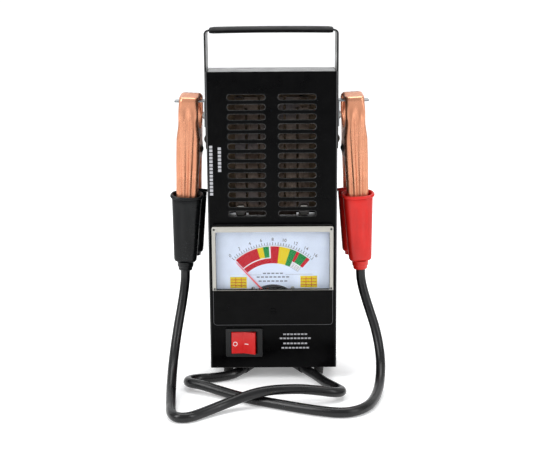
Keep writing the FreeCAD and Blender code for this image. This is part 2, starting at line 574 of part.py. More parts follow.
def inner_wiring():
    end = BOLT_Z - 15.0
    to_positive = [(RELIEF_X, RELIEF_Y, 8.0), (RELIEF_X, RELIEF_Y, 17.0), (19.0, 44.0, 34.0), (24.0, 51.0, 58.0),
                   (BOLT_X, 50.5, 84.0), (BOLT_X, 41.0, 102.0), (BOLT_X, 41.0, end)]
    to_element = [(SWITCH_X - 7, 34.5, SWITCH_Z), (SWITCH_X - 7, 44.0, SWITCH_Z), (SWITCH_X - 6, 51.0, 36.0),
                  (-28.0, 52.0, 60.0), (-BOLT_X, 50.5, 84.0), (-BOLT_X, 41.0, 102.0), (-BOLT_X, 41.0, end)]
    to_switch = [(-RELIEF_X, RELIEF_Y, 8.0), (-RELIEF_X, RELIEF_Y, 14.0), (-9.5, 42.5, 27.0), (-8.5, 49.0, 39.0),
                 (-12.0, 54.0, 36.0), (-16.5, 53.0, 27.0), (SWITCH_X + 7, 45.5, SWITCH_Z),
                 (SWITCH_X + 7, 34.5, SWITCH_Z)]
    routes = {"inner_lead_positive": to_positive, "inner_lead_element": to_element, "inner_lead_switch": to_switch}
    for name, route in routes.items():
        solid, radii, length = tube(route, WIRE_R)
        print(name, "length %.1f" % length, "valid", solid.isValid())
        save(name, solid)
    lugs = []
    for s in (-1, 1):
        x = s * BOLT_X
        tongue = cyl_y(5.6, x, BOLT_Z, LUG_Y, LUG_Y + 1.2).fuse(box(x - 4, x + 4, LUG_Y, LUG_Y + 1.2, end + 8, BOLT_Z))
        barrel = Part.makeCylinder(3.9, 9.0, V(x, 41.0, end), Z)
        web = box(x - 3, x + 3, LUG_Y, 40.0, end + 6.0, end + 9.0)
        lugs.append(cut(union([tongue, barrel, web]), [cyl_y(2.6, x, BOLT_Z, 0, 60)]))
        x = SWITCH_X + s * 7.0
        socket = box(x - 1.6, x + 1.6, SWITCH_D + 1.5, 30.5, SWITCH_Z - 4.0, SWITCH_Z + 4.0)
        socket = socket.cut(box(x - 0.45, x + 0.45, SWITCH_D, 30.2, SWITCH_Z - 3.25, SWITCH_Z + 3.25))
        lugs.append(socket.fuse(cyl_y(3.6, x, SWITCH_Z, 30.5, 34.5)).removeSplitter())
    save("lead_lugs", group(lugs))


def strain_relief(name, s):
    """Rubber elbow: a grommet in the bottom plate, then a tapered sleeve that leads the cable out level."""
    direction = relief_direction(s)
    root = V(s * RELIEF_X, RELIEF_Y, RELIEF_Z)
    sleeve = Part.makeCone(5.2, 4.7, RELIEF_L, root, direction)
    heel = Part.makeSphere(5.2, root)
    stem = cyl(5.0, (root.x, root.y, RELIEF_Z), Z, 8.0 - RELIEF_Z)
    lip = cyl(6.6, (root.x, root.y, SHEET), Z, 1.6)
    rings = [Part.makeTorus(4.95, 0.35, root + direction * d, direction) for d in (8.0, 12.0, 16.0)]
    lip_below = cyl(6.4, (root.x, root.y, -1.2), Z, 1.2)
    body = union([sleeve, heel, stem, lip, lip_below])
    for ring in rings:
        body = body.cut(ring)
    save(name, body)


def relief_direction(s):
    turn = math.radians(RELIEF_TURN)
    return V(s * math.sin(turn), -math.cos(turn), 0)


# ---- clamps ------------------------------------------------------------------------------------------------------
def at_clamp(shape, s):
    """Carry a piece from the clamp's own axes (pin along x through the origin) to where the clamp hangs."""
    shape = shape.copy()
    shape.rotate(V(0, 0, 0), Z, -s * -CLAMP_YAW)
    shape.rotate(V(0, 0, 0), Y, -s * CLAMP_LEAN)
    shape.translate(V(s * CLAMP_X, CLAMP_Y, CLAMP_Z))
    return shape


def clamp_point(x, y, z, s):
    vertex = at_clamp(Part.Vertex(V(x, y, z)), s)
    return vertex.Point


def width_prism(widths, less):
    """Front outline of a clamp half from (height, half width) pairs."""
    right = [(w - less, -60.0, z) for z, w in widths]
    left = [(-(w - less), -60.0, z) for z, w in reversed(widths)]
    return prism(right + left, (0, 120, 0))


FRONT_WIDTHS = [(TIP_Z + 1, 7.9), (20.0, 8.3), (9.0, 9.6), (-9.0, 9.6), (-36.0, 9.0), (END_Z - 1, 6.3)]
REAR_WIDTHS = [(TIP_Z + 1, 7.9), (20.0, 8.0), (9.0, 8.25), (-9.0, 8.25), (-36.0, 8.25), (END_Z - 1, 6.3)]
LIP_Z = 42.0
TOOTH = 1.6


def clamp_half(side, widths, handle_out):
    """Pressed channel: web outside, two flanges with the jaw mouth cut out, ears on the pin, toothed lip on top.

    side is -1 for the front half and +1 for the rear half; handle_out is how far out the handle's end stands.
    """
    web, near = WEB_OUT, 0.6
    outline = [(near, TIP_Z), (web - 3.0, TIP_Z), (web, TIP_Z - 3.5), (web, BEND_Z), (handle_out, END_Z),
               (handle_out - 5.6, END_Z), (web - 6.0, -26.0), (6.5, -4.5), (near, 6.0)]

    def channel(points, span):
        return prism([(-30.0, side * y, z) for y, z in points], (60.0, 0, 0)).common(span)

    ear = cyl_x(EAR_R, 0, 0, -30, 30)
    outer = channel(outline, width_prism(widths, 0)).fuse(ear.common(width_prism(widths, 0)))
    inside = [(y + (-PLATE if y > near + 0.1 else -3.0), z - (PLATE if z > TIP_Z - 0.1 else 0)) for y, z in outline]
    hollow = prism([(-30.0, side * y, z) for y, z in inside[:5]] +
                   [(-30.0, side * -20.0, END_Z - 5), (-30.0, side * -20.0, TIP_Z - PLATE)], (60.0, 0, 0))
    hollow = hollow.fuse(prism([(-30.0, side * (handle_out - PLATE), END_Z + 0.01), (-30.0, side * -20, END_Z + 0.01),
                                (-30.0, side * -20, END_Z - 6), (-30.0, side * (handle_out - PLATE + 0.2), END_Z - 6)],
                               (60.0, 0, 0)))
    lip = box(-30, 30, min(side * near, side * (near + PLATE)), max(side * near, side * (near + PLATE)), LIP_Z,
              TIP_Z + 1)
    hollow = hollow.cut(lip).common(width_prism(widths, PLATE))
    mouth = cyl_x(MOUTH_R, 0, MOUTH_Z, -30, 30).cut(lip)
    half = outer.cut(hollow).cut(mouth)
    teeth = []
    for i in range(-2, 3):
        notch = prism([(i * 3.2 - 0.9, side * -1.0, LIP_Z - 0.1), (i * 3.2 + 0.9, side * -1.0, LIP_Z - 0.1),
                       (i * 3.2, side * -1.0, LIP_Z + TOOTH)], (0, side * 6.0, 0))
        teeth.append(notch)
    return cut(half, teeth + [cyl_x(PIN_R + 0.05, 0, 0, -30, 30)])


def handle_line(handle_out, z):
    """How far out the web of a handle stands at height z."""
    return WEB_OUT + (handle_out - WEB_OUT) * (BEND_Z - z) / (BEND_Z - END_Z)


def boot_block(side, handle_out, top, low, radius):
    """Tapered block along a handle with rounded long corners; an end is (height, half width, half depth)."""
    def middle(z):
        return side * (handle_line(handle_out, z) - BOOT_INSET)

    (z1, x1, y1), (z0, x0, y0) = top, low
    front = prism([(x1, -60, z1), (x0, -60, z0), (-x0, -60, z0), (-x1, -60, z1)], (0, 120, 0))
    flank = prism([(-30, middle(z1) + y1, z1), (-30, middle(z0) + y0, z0), (-30, middle(z0) - y0, z0),
                   (-30, middle(z1) - y1, z1)], (60, 0, 0))
    block = front.common(flank)
    return block.makeFillet(radius, [e for e in block.Edges if e.BoundBox.ZLength > 0.9 * (z1 - z0)])


def boot_size(z, less):
    """(height, half width, half depth) of a boot at height z, less inside its outer face."""
    down = (BOOT_TOP - z) / (BOOT_TOP - BOOT_SHOULDER)
    return z, 12.6 - 3.1 * down - less, 8.2 - 2.0 * down - less


def clamp_boot(side, handle_out, with_neck):
    """Vinyl sleeve over a handle, with a rolled rim at its mouth."""
    inner = boot_block(side, handle_out, boot_size(BOOT_TOP + 3.0, BOOT_WALL),
                       boot_size(BOOT_SHOULDER + 1.8, BOOT_WALL), 3.0)
    outer = boot_block(side, handle_out, boot_size(BOOT_TOP - 0.4, 0), boot_size(BOOT_SHOULDER, 0), 4.5)
    rim = boot_block(side, handle_out, (BOOT_TOP + 1.6, *RIM_HALF), (BOOT_TOP - 1.2, *RIM_HALF), 6.0)
    shape = outer.fuse(rim)
    if with_neck:
        step = cyl(6.9, (0, NECK_Y, BOOT_STEP), Z, BOOT_SHOULDER - BOOT_STEP + 0.6)
        neck = cyl(NECK_R, (0, NECK_Y, BOOT_END), Z, BOOT_SHOULDER - BOOT_END)
        shape = cut(union([shape, step, neck]), [inner, cyl(LEAD_D / 2 + 0.15, (0, NECK_Y, BOOT_END - 1), Z, 14.0)])
    else:
        tip = (BOOT_SHOULDER - 3.0, 7.0, 4.4)
        heel = boot_block(side, handle_out, boot_size(BOOT_SHOULDER + 0.5, 0.3), tip, 2.5)
        shape = shape.fuse(heel).cut(inner)
    return shape.removeSplitter()


def clamp_spring():
    """Torsion spring on the pin with a leg against each handle."""
    wire_r, coil_r, pitch, turns = 0.75, 4.3, 1.9, 5
    helix = Part.makeHelix(pitch, pitch * turns, coil_r)
    profile = Part.Wire(Part.makeCircle(wire_r, V(coil_r, 0, 0), V(0, 1, pitch / (2 * math.pi * coil_r))))
    coil = helix.makePipeShell([profile], True, True)
    coil.rotate(V(0, 0, 0), Y, 90)
    coil.translate(V(-pitch * turns / 2, 0, 0))
    coil.rotate(V(0, 0, 0), X, 90)
    ends = []
    for x, side in ((-pitch * turns / 2, -1), (pitch * turns / 2, 1)):
        start = V(x, 0, -coil_r)
        stop = V(x, side * 14.5, -22.0)
        run = stop - start
        ends += [Part.makeCylinder(wire_r, run.Length, start, run), Part.makeSphere(wire_r, start),
                 Part.makeSphere(wire_r, stop)]
    return union([coil] + ends)


def pivot_pin():
    shank = cyl_x(PIN_R, 0, 0, -9.65, 9.65)
    heads = []
    for s in (-1, 1):
        head = Part.makeSphere(4.6, V(s * (9.65 - 2.9), 0, 0)).common(cyl(3.6, (s * 9.65, 0, 0), X * s, 4))
        heads.append(head)
    return union([shank] + heads)


HANDLE_OUT = {-1: 19.0, 1: 25.0}
CRIMP_Z = -89.6


def crimp():
    core = cyl(2.4, (0, NECK_Y, CRIMP_Z), Z, 18.0)
    band = cyl(2.75, (0, NECK_Y, CRIMP_Z + 5.0), Z, 8.0)
    return union([core, band])


def clamps():
    for name, s in (("left", -1), ("right", 1)):
        save("front_jaw_" + name, at_clamp(clamp_half(-1, FRONT_WIDTHS, HANDLE_OUT[-1]), s))
        save("rear_jaw_" + name, at_clamp(clamp_half(1, REAR_WIDTHS, HANDLE_OUT[1]), s))
        save("front_boot_" + name, at_clamp(clamp_boot(-1, HANDLE_OUT[-1], True), s))
        save("rear_boot_" + name, at_clamp(clamp_boot(1, HANDLE_OUT[1], False), s))
        save("clamp_pin_" + name, at_clamp(pivot_pin(), s))
        save("clamp_spring_" + name, at_clamp(clamp_spring(), s))
        save("lead_crimp_" + name, at_clamp(crimp(), s))


# ---- free leads --------------------------------------------------------------------------------------------------
def free_leads():
    for name, start, end, middle in (("red_clamp_lead", -1, 1, RED_LEAD), ("black_clamp_lead", 1, -1, BLACK_LEAD)):
        direction = relief_direction(start)
        mouth = V(start * RELIEF_X, RELIEF_Y, RELIEF_Z) + direction * RELIEF_L
        ahead = mouth + direction * 13.0
        top = clamp_point(0, NECK_Y, CRIMP_Z, end)
        below = clamp_point(0, NECK_Y, CRIMP_Z - 14.0, end)
        points = [tuple(mouth), tuple(ahead)] + middle + [tuple(below), tuple(top)]
        for p in (mouth, ahead, below, top):
            print("   ", name, "end point", [round(c, 2) for c in (p.x, p.y, p.z)])
        lead(name, points, LEAD_D / 2)


def main():
    os.makedirs("parts", exist_ok=True)
    front_shell()
    rear_cover()
    case_screws()
    feet()
    handle_strap()
    grip_sleeve()
    clamp_rest("clamp_rest_left", -1)
    clamp_rest("clamp_rest_right", 1)
    handle_screws()
    meter_housing()
    meter_window()
    meter_lower_cover()
    dial_plate()
    dial_screws()
    magnet_yoke()
    iron_core()
    movement_bridge()
    moving_coil()
    rear_bearing()
    pointer()
    zero_adjuster()
    meter_fixings()
    calibration_board()
    switch_body()
    rocker()
    switch_terminals()
    load_element()
    element_supports()
    heat_shield()
    inner_wiring()
    strain_relief("strain_relief_left", -1)
    strain_relief("strain_relief_right", 1)
    clamps()
    free_leads()


main()
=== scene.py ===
import json
import math

import bmesh
import bpy
from mathutils import Matrix, Vector


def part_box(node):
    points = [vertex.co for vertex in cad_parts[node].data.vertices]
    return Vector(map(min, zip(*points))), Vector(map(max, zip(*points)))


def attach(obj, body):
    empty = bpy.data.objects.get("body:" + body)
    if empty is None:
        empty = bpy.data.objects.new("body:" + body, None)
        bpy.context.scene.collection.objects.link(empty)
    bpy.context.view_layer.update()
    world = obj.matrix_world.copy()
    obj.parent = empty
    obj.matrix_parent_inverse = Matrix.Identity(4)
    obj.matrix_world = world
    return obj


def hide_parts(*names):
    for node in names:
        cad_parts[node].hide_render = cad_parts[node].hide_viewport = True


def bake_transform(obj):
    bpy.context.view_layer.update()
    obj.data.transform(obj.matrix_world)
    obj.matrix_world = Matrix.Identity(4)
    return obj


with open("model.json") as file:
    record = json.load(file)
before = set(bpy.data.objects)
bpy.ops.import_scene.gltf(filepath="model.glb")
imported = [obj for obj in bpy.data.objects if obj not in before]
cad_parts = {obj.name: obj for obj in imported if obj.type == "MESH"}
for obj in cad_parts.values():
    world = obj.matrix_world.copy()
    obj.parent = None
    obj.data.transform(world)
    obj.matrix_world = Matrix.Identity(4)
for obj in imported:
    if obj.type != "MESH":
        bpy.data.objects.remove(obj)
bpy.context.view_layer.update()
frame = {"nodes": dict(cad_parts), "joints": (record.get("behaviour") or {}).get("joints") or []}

# Looks of a handheld battery load tester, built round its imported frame.  Blender works in metres.  The helpers
# below take millimetres from the middle of the front panel's lower edge: across, back and up.
MM = 0.001
TO_METRES = Matrix.Diagonal((MM, MM, MM, 1))
NODES = frame["nodes"]
JOINTS = {joint["name"]: joint for joint in frame["joints"]}
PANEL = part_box("front_shell")


def loose(name, data):
    """A linked object at the origin."""
    made = bpy.data.objects.new(name, data)
    bpy.context.scene.collection.objects.link(made)
    return made


def at(x, y, z):
    """The place of a point given in the panel's millimetres."""
    return Vector((x * MM, PANEL[0].y + y * MM, PANEL[0].z + z * MM))


PANEL_FRAME = Matrix.Translation(at(0, 0, 0)) @ TO_METRES


# ---- camera, floor and light ------------------------------------------------------------------------------------
def set_camera():
    data = bpy.data.cameras.new("view")
    data.lens, data.sensor_width = 69.84, 36.0
    data.clip_start, data.clip_end = 0.05, 20.0
    camera = loose("view", data)
    pitch, roll = math.radians(90 - 11.7), -0.0068
    turn = Matrix.Rotation(pitch, 4, "X") @ Matrix.Rotation(roll, 4, "Z")
    camera.matrix_world = Matrix.Translation(at(2.05, -865.5, 303.1)) @ turn
    bpy.context.scene.camera = camera
    bpy.context.scene.view_settings.view_transform = "Standard"


def area_light(name, place, aim, size, watts):
    data = bpy.data.lights.new(name, "AREA")
    data.shape, data.size, data.size_y = "RECTANGLE", size[0], size[1]
    data.energy = watts
    light = loose(name, data)
    away = Vector(place) - Vector(aim)
    light.matrix_world = Matrix.Translation(place) @ away.to_track_quat("Z", "Y").to_matrix().to_4x4()


def set_studio():
    """Pale floor that sweeps up behind, white surroundings and three soft boxes."""
    world = bpy.data.worlds.new("surroundings")
    bpy.context.scene.world = world
    world.use_nodes = True
    backdrop = world.node_tree.nodes["Background"]
    backdrop.inputs["Color"].default_value = (0.96, 0.98, 1.0, 1)
    backdrop.inputs["Strength"].default_value = 0.62
    area_light("key_box", (-1.0, -0.75, 0.95), (0, 0, 0.16), (0.5, 1.1), 13)
    area_light("fill_box", (1.1, -0.8, 0.7), (0, 0, 0.14), (0.35, 1.0), 6)
    area_light("top_box", (0.05, 0.30, 1.6), (0, 0, 0.2), (1.4, 0.9), 17)
    front, back, radius, half_width, top = -4.0, 1.6, 0.8, 5.0, 4.0
    turns = [math.radians(90 * i / 12) for i in range(13)]
    sweep = [(front, 0.0)]
    sweep += [(back + radius * math.sin(turn), radius * (1 - math.cos(turn))) for turn in turns]
    sweep.append((back + radius, top))
    mesh = bpy.data.meshes.new("floor")
    points = [(x, y, z) for y, z in sweep for x in (-half_width, half_width)]
    mesh.from_pydata(points, [], [(2 * i, 2 * i + 1, 2 * i + 3, 2 * i + 2) for i in range(len(sweep) - 1)])
    mesh.shade_smooth()
    mesh.materials.append(floor_paper())
    loose("floor", mesh)


# ---- node helpers -----------------------------------------------------------------------------------------------
def add(tree, kind, inputs=None, **settings):
    """A node with its settings made and its inputs set, or linked where the value is another node's output."""
    node = tree.nodes.new(kind)
    for name, value in settings.items():
        setattr(node, name, value)
    for name, value in (inputs or {}).items():
        socket = node.inputs[name]
        if isinstance(value, bpy.types.NodeSocket):
            tree.links.new(value, socket)
        else:
            socket.default_value = value
    return node


def calc(tree, operation, a, b=0.0, clamp=False):
    return add(tree, "ShaderNodeMath", {0: a, 1: b}, operation=operation, use_clamp=clamp).outputs[0]


def times(tree, a, b, clamp=False):
    return calc(tree, "MULTIPLY", a, b, clamp)


def remap(tree, value, low, high, to_low=0.0, to_high=1.0):
    made = add(tree, "ShaderNodeMapRange", {"Value": value, "From Min": low, "From Max": high, "To Min": to_low,
                                            "To Max": to_high})
    return made.outputs["Result"]


def mixed(tree, factor, a, b):
    made = add(tree, "ShaderNodeMix", data_type="RGBA")
    for socket, value in ((made.inputs[0], factor), (made.inputs[6], a), (made.inputs[7], b)):
        if isinstance(value, bpy.types.NodeSocket):
            tree.links.new(value, socket)
        elif socket.type == "RGBA":
            socket.default_value = (*value, 1) if len(value) == 3 else value
        else:
            socket.default_value = value
    return made.outputs[2]


def noise(tree, place, scale, detail=2.0, rough=0.5):
    made = add(tree, "ShaderNodeTexNoise", {"Vector": place, "Scale": scale, "Detail": detail, "Roughness": rough})
    return made.outputs["Fac"]


def new_group(name, inputs, outputs):
    """An empty shader group with named sockets; inputs map a name to a number, or to None for a vector."""
    tree = bpy.data.node_groups.new(name, "ShaderNodeTree")
    for socket, value in inputs.items():
        kind = "NodeSocketVector" if value is None else "NodeSocketFloat"
        made = tree.interface.new_socket(socket, in_out="INPUT", socket_type=kind)
        if value is not None:
            made.default_value = value
    for socket in outputs:
        tree.interface.new_socket(socket, in_out="OUTPUT", socket_type="NodeSocketFloat")
    return tree, tree.nodes.new("NodeGroupInput").outputs, tree.nodes.new("NodeGroupOutput").inputs


def edge_wear_group():
    """Mask that is high on corners, broken up so that only parts of an edge are rubbed."""
    tree, given, result = new_group("edge_wear", {"Place": None, "Width": 0.0006, "Patch Scale": 120.0,
                                                  "Amount": 0.5}, ["Mask"])
    rounded = add(tree, "ShaderNodeBevel", {"Radius": given["Width"]}, samples=4)
    flat = add(tree, "ShaderNodeNewGeometry")
    facing = add(tree, "ShaderNodeVectorMath", {0: rounded.outputs[0], 1: flat.outputs["Normal"]},
                 operation="DOT_PRODUCT")
    corner = remap(tree, facing.outputs["Value"], 0.995, 0.86)
    patch = remap(tree, noise(tree, given["Place"], given["Patch Scale"], 3.0), 0.42, 0.62)
    tree.links.new(times(tree, times(tree, corner, patch), given["Amount"], True),
                   result["Mask"])
    return tree


def dust_group():
    """Mask of fine settled dust: specks everywhere, more of it on faces that look up."""
    tree, given, result = new_group("dust", {"Place": None, "Speck Scale": 1500.0, "Amount": 0.3}, ["Mask"])
    up = add(tree, "ShaderNodeSeparateXYZ", {0: add(tree, "ShaderNodeNewGeometry").outputs["Normal"]}).outputs["Z"]
    lying = remap(tree, up, -0.2, 1.0, 0.15, 1.0)
    cloud = remap(tree, noise(tree, given["Place"], 60.0, 4.0, 0.6), 0.35, 0.7)
    speck = remap(tree, noise(tree, given["Place"], given["Speck Scale"], 2.0), 0.62, 0.74)
    both = calc(tree, "ADD", times(tree, cloud, 0.25), speck)
    tree.links.new(times(tree, times(tree, both, lying), given["Amount"], True),
                   result["Mask"])
    return tree


def grain_group():
    """Moulded or sprayed skin: a fine pebble on a slower swell, as a height, and a cloud for the roughness."""
    tree, given, result = new_group("grain", {"Place": None, "Pebble Scale": 2500.0, "Swell Scale": 90.0,
                                              "Swell": 0.5}, ["Height", "Cloud"])
    pebble = noise(tree, given["Place"], given["Pebble Scale"], 2.0)
    swell = noise(tree, given["Place"], given["Swell Scale"], 3.0)
    height = calc(tree, "ADD", pebble, times(tree, swell, given["Swell"]))
    tree.links.new(height, result["Height"])
    tree.links.new(remap(tree, swell, 0.3, 0.7), result["Cloud"])
    return tree


def brushing_group():
    """Fine lines left along one axis by rolling, drawing or polishing."""
    tree, given, result = new_group("brushing", {"Place": None, "Stretch": None, "Scale": 900.0},
                                    ["Lines", "Cloud"])
    stretched = add(tree, "ShaderNodeVectorMath", {0: given["Place"], 1: given["Stretch"]}, operation="MULTIPLY")
    tree.links.new(noise(tree, stretched.outputs[0], given["Scale"], 3.0, 0.7), result["Lines"])
    tree.links.new(remap(tree, noise(tree, given["Place"], 45.0, 4.0, 0.6), 0.3, 0.7), result["Cloud"])
    return tree


EDGE_WEAR, DUST, GRAIN, BRUSHING = edge_wear_group(), dust_group(), grain_group(), brushing_group()


class Finish:
    """One material: its tree, its shader and the object's own coordinates."""

    def __init__(self, name, **plain):
        self.material = bpy.data.materials.new(name)
        self.material.use_nodes = True
        self.tree = self.material.node_tree
        self.shader = self.tree.nodes["Principled BSDF"]
        self.place = add(self.tree, "ShaderNodeTexCoord").outputs["Object"]
        for socket, value in plain.items():
            self.shader.inputs[socket.replace("_", " ")].default_value = value

    def group(self, tree, **values):
        made = add(self.tree, "ShaderNodeGroup", node_tree=tree)
        self.tree.links.new(self.place, made.inputs["Place"])
        for name, value in values.items():
            made.inputs[name.replace("_", " ")].default_value = value
        return made.outputs

    def link(self, output, socket):
        self.tree.links.new(output, self.shader.inputs[socket])

    def bump(self, height, depth):
        made = add(self.tree, "ShaderNodeBump", {"Height": height, "Distance": depth})
        self.link(made.outputs["Normal"], "Normal")


def coat(name, colour, worn, rough, spread=0.08, grain_depth=0.00002, wear=0.4, dust=0.25, pebble=2500.0,
         metal_under=0.0, dust_colour=(0.55, 0.53, 0.50), bend_highlight=None, **plain):
    """Painted, moulded or rubber skin: grain, a cloudy sheen, rubbed corners, a little dust, and a painted
    highlight on the folded bends.
    """
    made = Finish(name, **plain)
    tree = made.tree
    skin = made.group(GRAIN, Pebble_Scale=pebble)
    rubbed = made.group(EDGE_WEAR, Amount=wear)["Mask"]
    dusty = made.group(DUST, Amount=dust)["Mask"]
    tone = mixed(tree, times(tree, skin["Cloud"], 0.5), colour, tuple(c * 1.25 + 0.002 for c in colour))
    tone = mixed(tree, rubbed, tone, worn)
    # Painted highlight: faces whose normal leans both sideways and forwards (the sheet's folded bends) get a paler
    # colour that stands for the side light they catch.
    if bend_highlight is not None:
        facing = add(tree, "ShaderNodeNewGeometry").outputs["Normal"]
        facing = add(tree, "ShaderNodeSeparateXYZ", {0: facing}).outputs
        bend = calc(tree, "ABSOLUTE", times(tree, facing["X"], facing["Y"]))
        tone = mixed(tree, remap(tree, bend, 0.2, 0.45), tone, bend_highlight)
    made.link(mixed(tree, dusty, tone, dust_colour), "Base Color")
    dull = remap(tree, skin["Cloud"], 0.0, 1.0, rough - spread, rough + spread)
    made.link(calc(tree, "ADD", dull, times(tree, dusty, 0.3), True), "Roughness")
    if metal_under:
        made.link(times(tree, rubbed, metal_under), "Metallic")
    made.bump(skin["Height"], grain_depth)
    return made.material


def metal(name, colour, tarnish, rough, stretch=(1, 1, 0.04), scale=900.0, depth=0.000008, tarnish_share=0.35,
          bright=(0.9, 0.88, 0.85), wear=0.3, browned_above=None, **plain):
    """Bare or plated metal: drawn lines, clouds of tarnish, bright corners, and heat colour above a height."""
    made = Finish(name, **{"Metallic": 1.0, **plain})
    tree = made.tree
    lines = made.group(BRUSHING, Stretch=stretch, Scale=scale)
    rubbed = made.group(EDGE_WEAR, Amount=wear, Width=0.0004)["Mask"]
    tone = mixed(tree, times(tree, lines["Cloud"], tarnish_share), colour, tarnish)
    tone = mixed(tree, times(tree, lines["Lines"], 0.35), tone, tarnish)
    tone = mixed(tree, rubbed, tone, bright)
    if browned_above is not None:
        height = add(tree, "ShaderNodeSeparateXYZ", {0: made.place}).outputs["Z"]
        tone = mixed(tree, remap(tree, height, browned_above, browned_above + 0.03), tone, (0.05, 0.035, 0.025))
    made.link(tone, "Base Color")
    made.link(remap(tree, calc(tree, "ADD", lines["Lines"], lines["Cloud"]), 0.3, 1.6, rough * 0.75, rough * 1.4),
              "Roughness")
    made.bump(lines["Lines"], depth)
    return made.material


def ink(name, colour):
    """Screen print: matt, slightly thin in places."""
    made = Finish(name, Specular_IOR_Level=0.12)
    tree = made.tree
    thin = remap(tree, noise(tree, made.place, 2600.0, 3.0), 0.35, 0.75, 0.0, 0.12)
    paler = tuple(c + (0.8 - c) * 0.12 for c in colour)
    made.link(mixed(tree, thin, colour, paler), "Base Color")
    made.link(remap(tree, thin, 0.0, 0.25, 0.45, 0.6), "Roughness")
    return made.material


def floor_paper():
    made = Finish("floor_paper")
    cloud = noise(made.tree, made.place, 9.0, 3.0)
    made.link(mixed(made.tree, cloud, (0.90, 0.90, 0.90), (0.94, 0.94, 0.94)), "Base Color")
    made.link(remap(made.tree, cloud, 0.3, 0.7, 0.85, 0.95), "Roughness")
    made.shader.inputs["Emission Color"].default_value = (1, 1, 1, 1)
    made.shader.inputs["Emission Strength"].default_value = 0.22
    return made.material


def clear_moulding(name, tint, rough, share=1.0, bend=1.49):
    """Clear acrylic with faint moulding haze; a share under 1 is milky."""
    made = Finish(name, Transmission_Weight=share, IOR=bend)
    tree = made.tree
    haze = remap(tree, noise(tree, made.place, 70.0, 3.0), 0.35, 0.7, rough, rough + 0.04)
    made.link(haze, "Roughness")
    streak = remap(tree, noise(tree, made.place, 25.0, 2.0), 0.3, 0.7, 0.0, 0.3)
    made.link(mixed(tree, streak, tint, tuple(c * 0.94 for c in tint)), "Base Color")
    return made.material


def wound_copper():
    made = Finish("coil_winding", Metallic=0.85)
    wave = add(made.tree, "ShaderNodeTexWave", {"Vector": made.place, "Scale": 900.0, "Distortion": 0.6},
               bands_direction="Y").outputs["Fac"]
    made.link(mixed(made.tree, wave, (0.35, 0.10, 0.03), (0.72, 0.28, 0.10)), "Base Color")
    made.link(remap(made.tree, wave, 0.0, 1.0, 0.28, 0.45), "Roughness")
    made.bump(wave, 0.00005)
    return made.material


def heated_strip():
    """Nickel-chrome strip blued and browned by heat."""
    made = Finish("heated_strip", Metallic=0.9)
    tree = made.tree
    lines = made.group(BRUSHING, Stretch=(1, 1, 0.05), Scale=700.0)
    patch = remap(tree, noise(tree, made.place, 75.0, 4.0, 0.65), 0.35, 0.65)
    tone = mixed(tree, patch, (0.035, 0.022, 0.016), (0.11, 0.085, 0.07))
    blue = remap(tree, noise(tree, made.place, 38.0, 2.0), 0.52, 0.7, 0.0, 0.5)
    made.link(mixed(tree, blue, tone, (0.03, 0.035, 0.05)), "Base Color")
    made.link(remap(tree, lines["Lines"], 0.2, 0.8, 0.22, 0.45), "Roughness")
    made.bump(lines["Lines"], 0.00001)
    return made.material


def speckled(name, colour, speck, rough, scale=700.0, depth=0.00003):
    """Pressed board, fired clay or lacquer: one colour peppered with another."""
    made = Finish(name)
    tree = made.tree
    pepper = remap(tree, noise(tree, made.place, scale, 4.0, 0.7), 0.4, 0.7)
    made.link(mixed(tree, pepper, colour, speck), "Base Color")
    made.link(remap(tree, pepper, 0.0, 1.0, rough, min(rough + 0.15, 1.0)), "Roughness")
    made.bump(pepper, depth)
    return made.material


STEEL_SHOWING = (0.30, 0.29, 0.28)
# The paler colour given for the bends is a painted highlight on the case's folded edges.
case_black = coat("case_black", (0.0010, 0.0010, 0.0012), STEEL_SHOWING, 0.20, 0.05, 0.000010, wear=0.55,
                  dust=0.01, pebble=1400.0, metal_under=0.5, bend_highlight=(0.07, 0.07, 0.072), Specular_IOR_Level=0.05)
slot_edge = coat("slot_edge", (0.0025, 0.0024, 0.0022), STEEL_SHOWING, 0.24, wear=0.2, dust=0.03,
                 Specular_IOR_Level=0.38)
strap_black = coat("strap_black", (0.004, 0.004, 0.0045), STEEL_SHOWING, 0.32, wear=0.4, dust=0.05,
                   metal_under=0.6, Specular_IOR_Level=0.3)
grip_black = coat("grip_black", (0.0035, 0.0035, 0.004), (0.05, 0.05, 0.05), 0.50, 0.08, 0.00006, wear=0.3,
                  dust=0.05, pebble=1100.0, Specular_IOR_Level=0.14)
boot_black = coat("boot_black", (0.0035, 0.0040, 0.0045), (0.03, 0.03, 0.03), 0.30, 0.06, 0.00003, wear=0.3,
                  dust=0.03, pebble=1300.0, Specular_IOR_Level=0.20)
boot_red = coat("boot_red", (0.52, 0.010, 0.006), (0.80, 0.09, 0.07), 0.36, 0.08, 0.00003, wear=0.3, dust=0.04,
                pebble=1300.0, Specular_IOR_Level=0.36)
cable_black = coat("cable_black", (0.0025, 0.0025, 0.003), (0.04, 0.04, 0.04), 0.30, 0.06, 0.00002, wear=0.0,
                   dust=0.03, pebble=1800.0, Specular_IOR_Level=0.36)
foot_rubber = coat("foot_rubber", (0.012, 0.012, 0.012), (0.05, 0.05, 0.05), 0.65, dust=0.4)
meter_black = coat("meter_black", (0.0012, 0.0012, 0.0013), (0.03, 0.03, 0.03), 0.10, 0.03, 0.000004, wear=0.1,
                   dust=0.01, Specular_IOR_Level=0.05)
housing_black = coat("housing_black", (0.008, 0.008, 0.009), (0.05, 0.05, 0.05), 0.35, wear=0.2, dust=0.1)
switch_black = coat("switch_black", (0.005, 0.0055, 0.006), (0.05, 0.05, 0.05), 0.42, 0.06, 0.00004, dust=0.06,
                    pebble=3200.0, Specular_IOR_Level=0.35)
rocker_red = coat("rocker_red", (0.52, 0.004, 0.004), (0.90, 0.20, 0.16), 0.22, 0.06, 0.000008, wear=0.3,
                  dust=0.05)
wire_black = coat("wire_black", (0.012, 0.012, 0.012), (0.05, 0.05, 0.05), 0.40, wear=0.0)
wire_red = coat("wire_red", (0.55, 0.02, 0.015), (0.6, 0.1, 0.1), 0.40, wear=0.0)
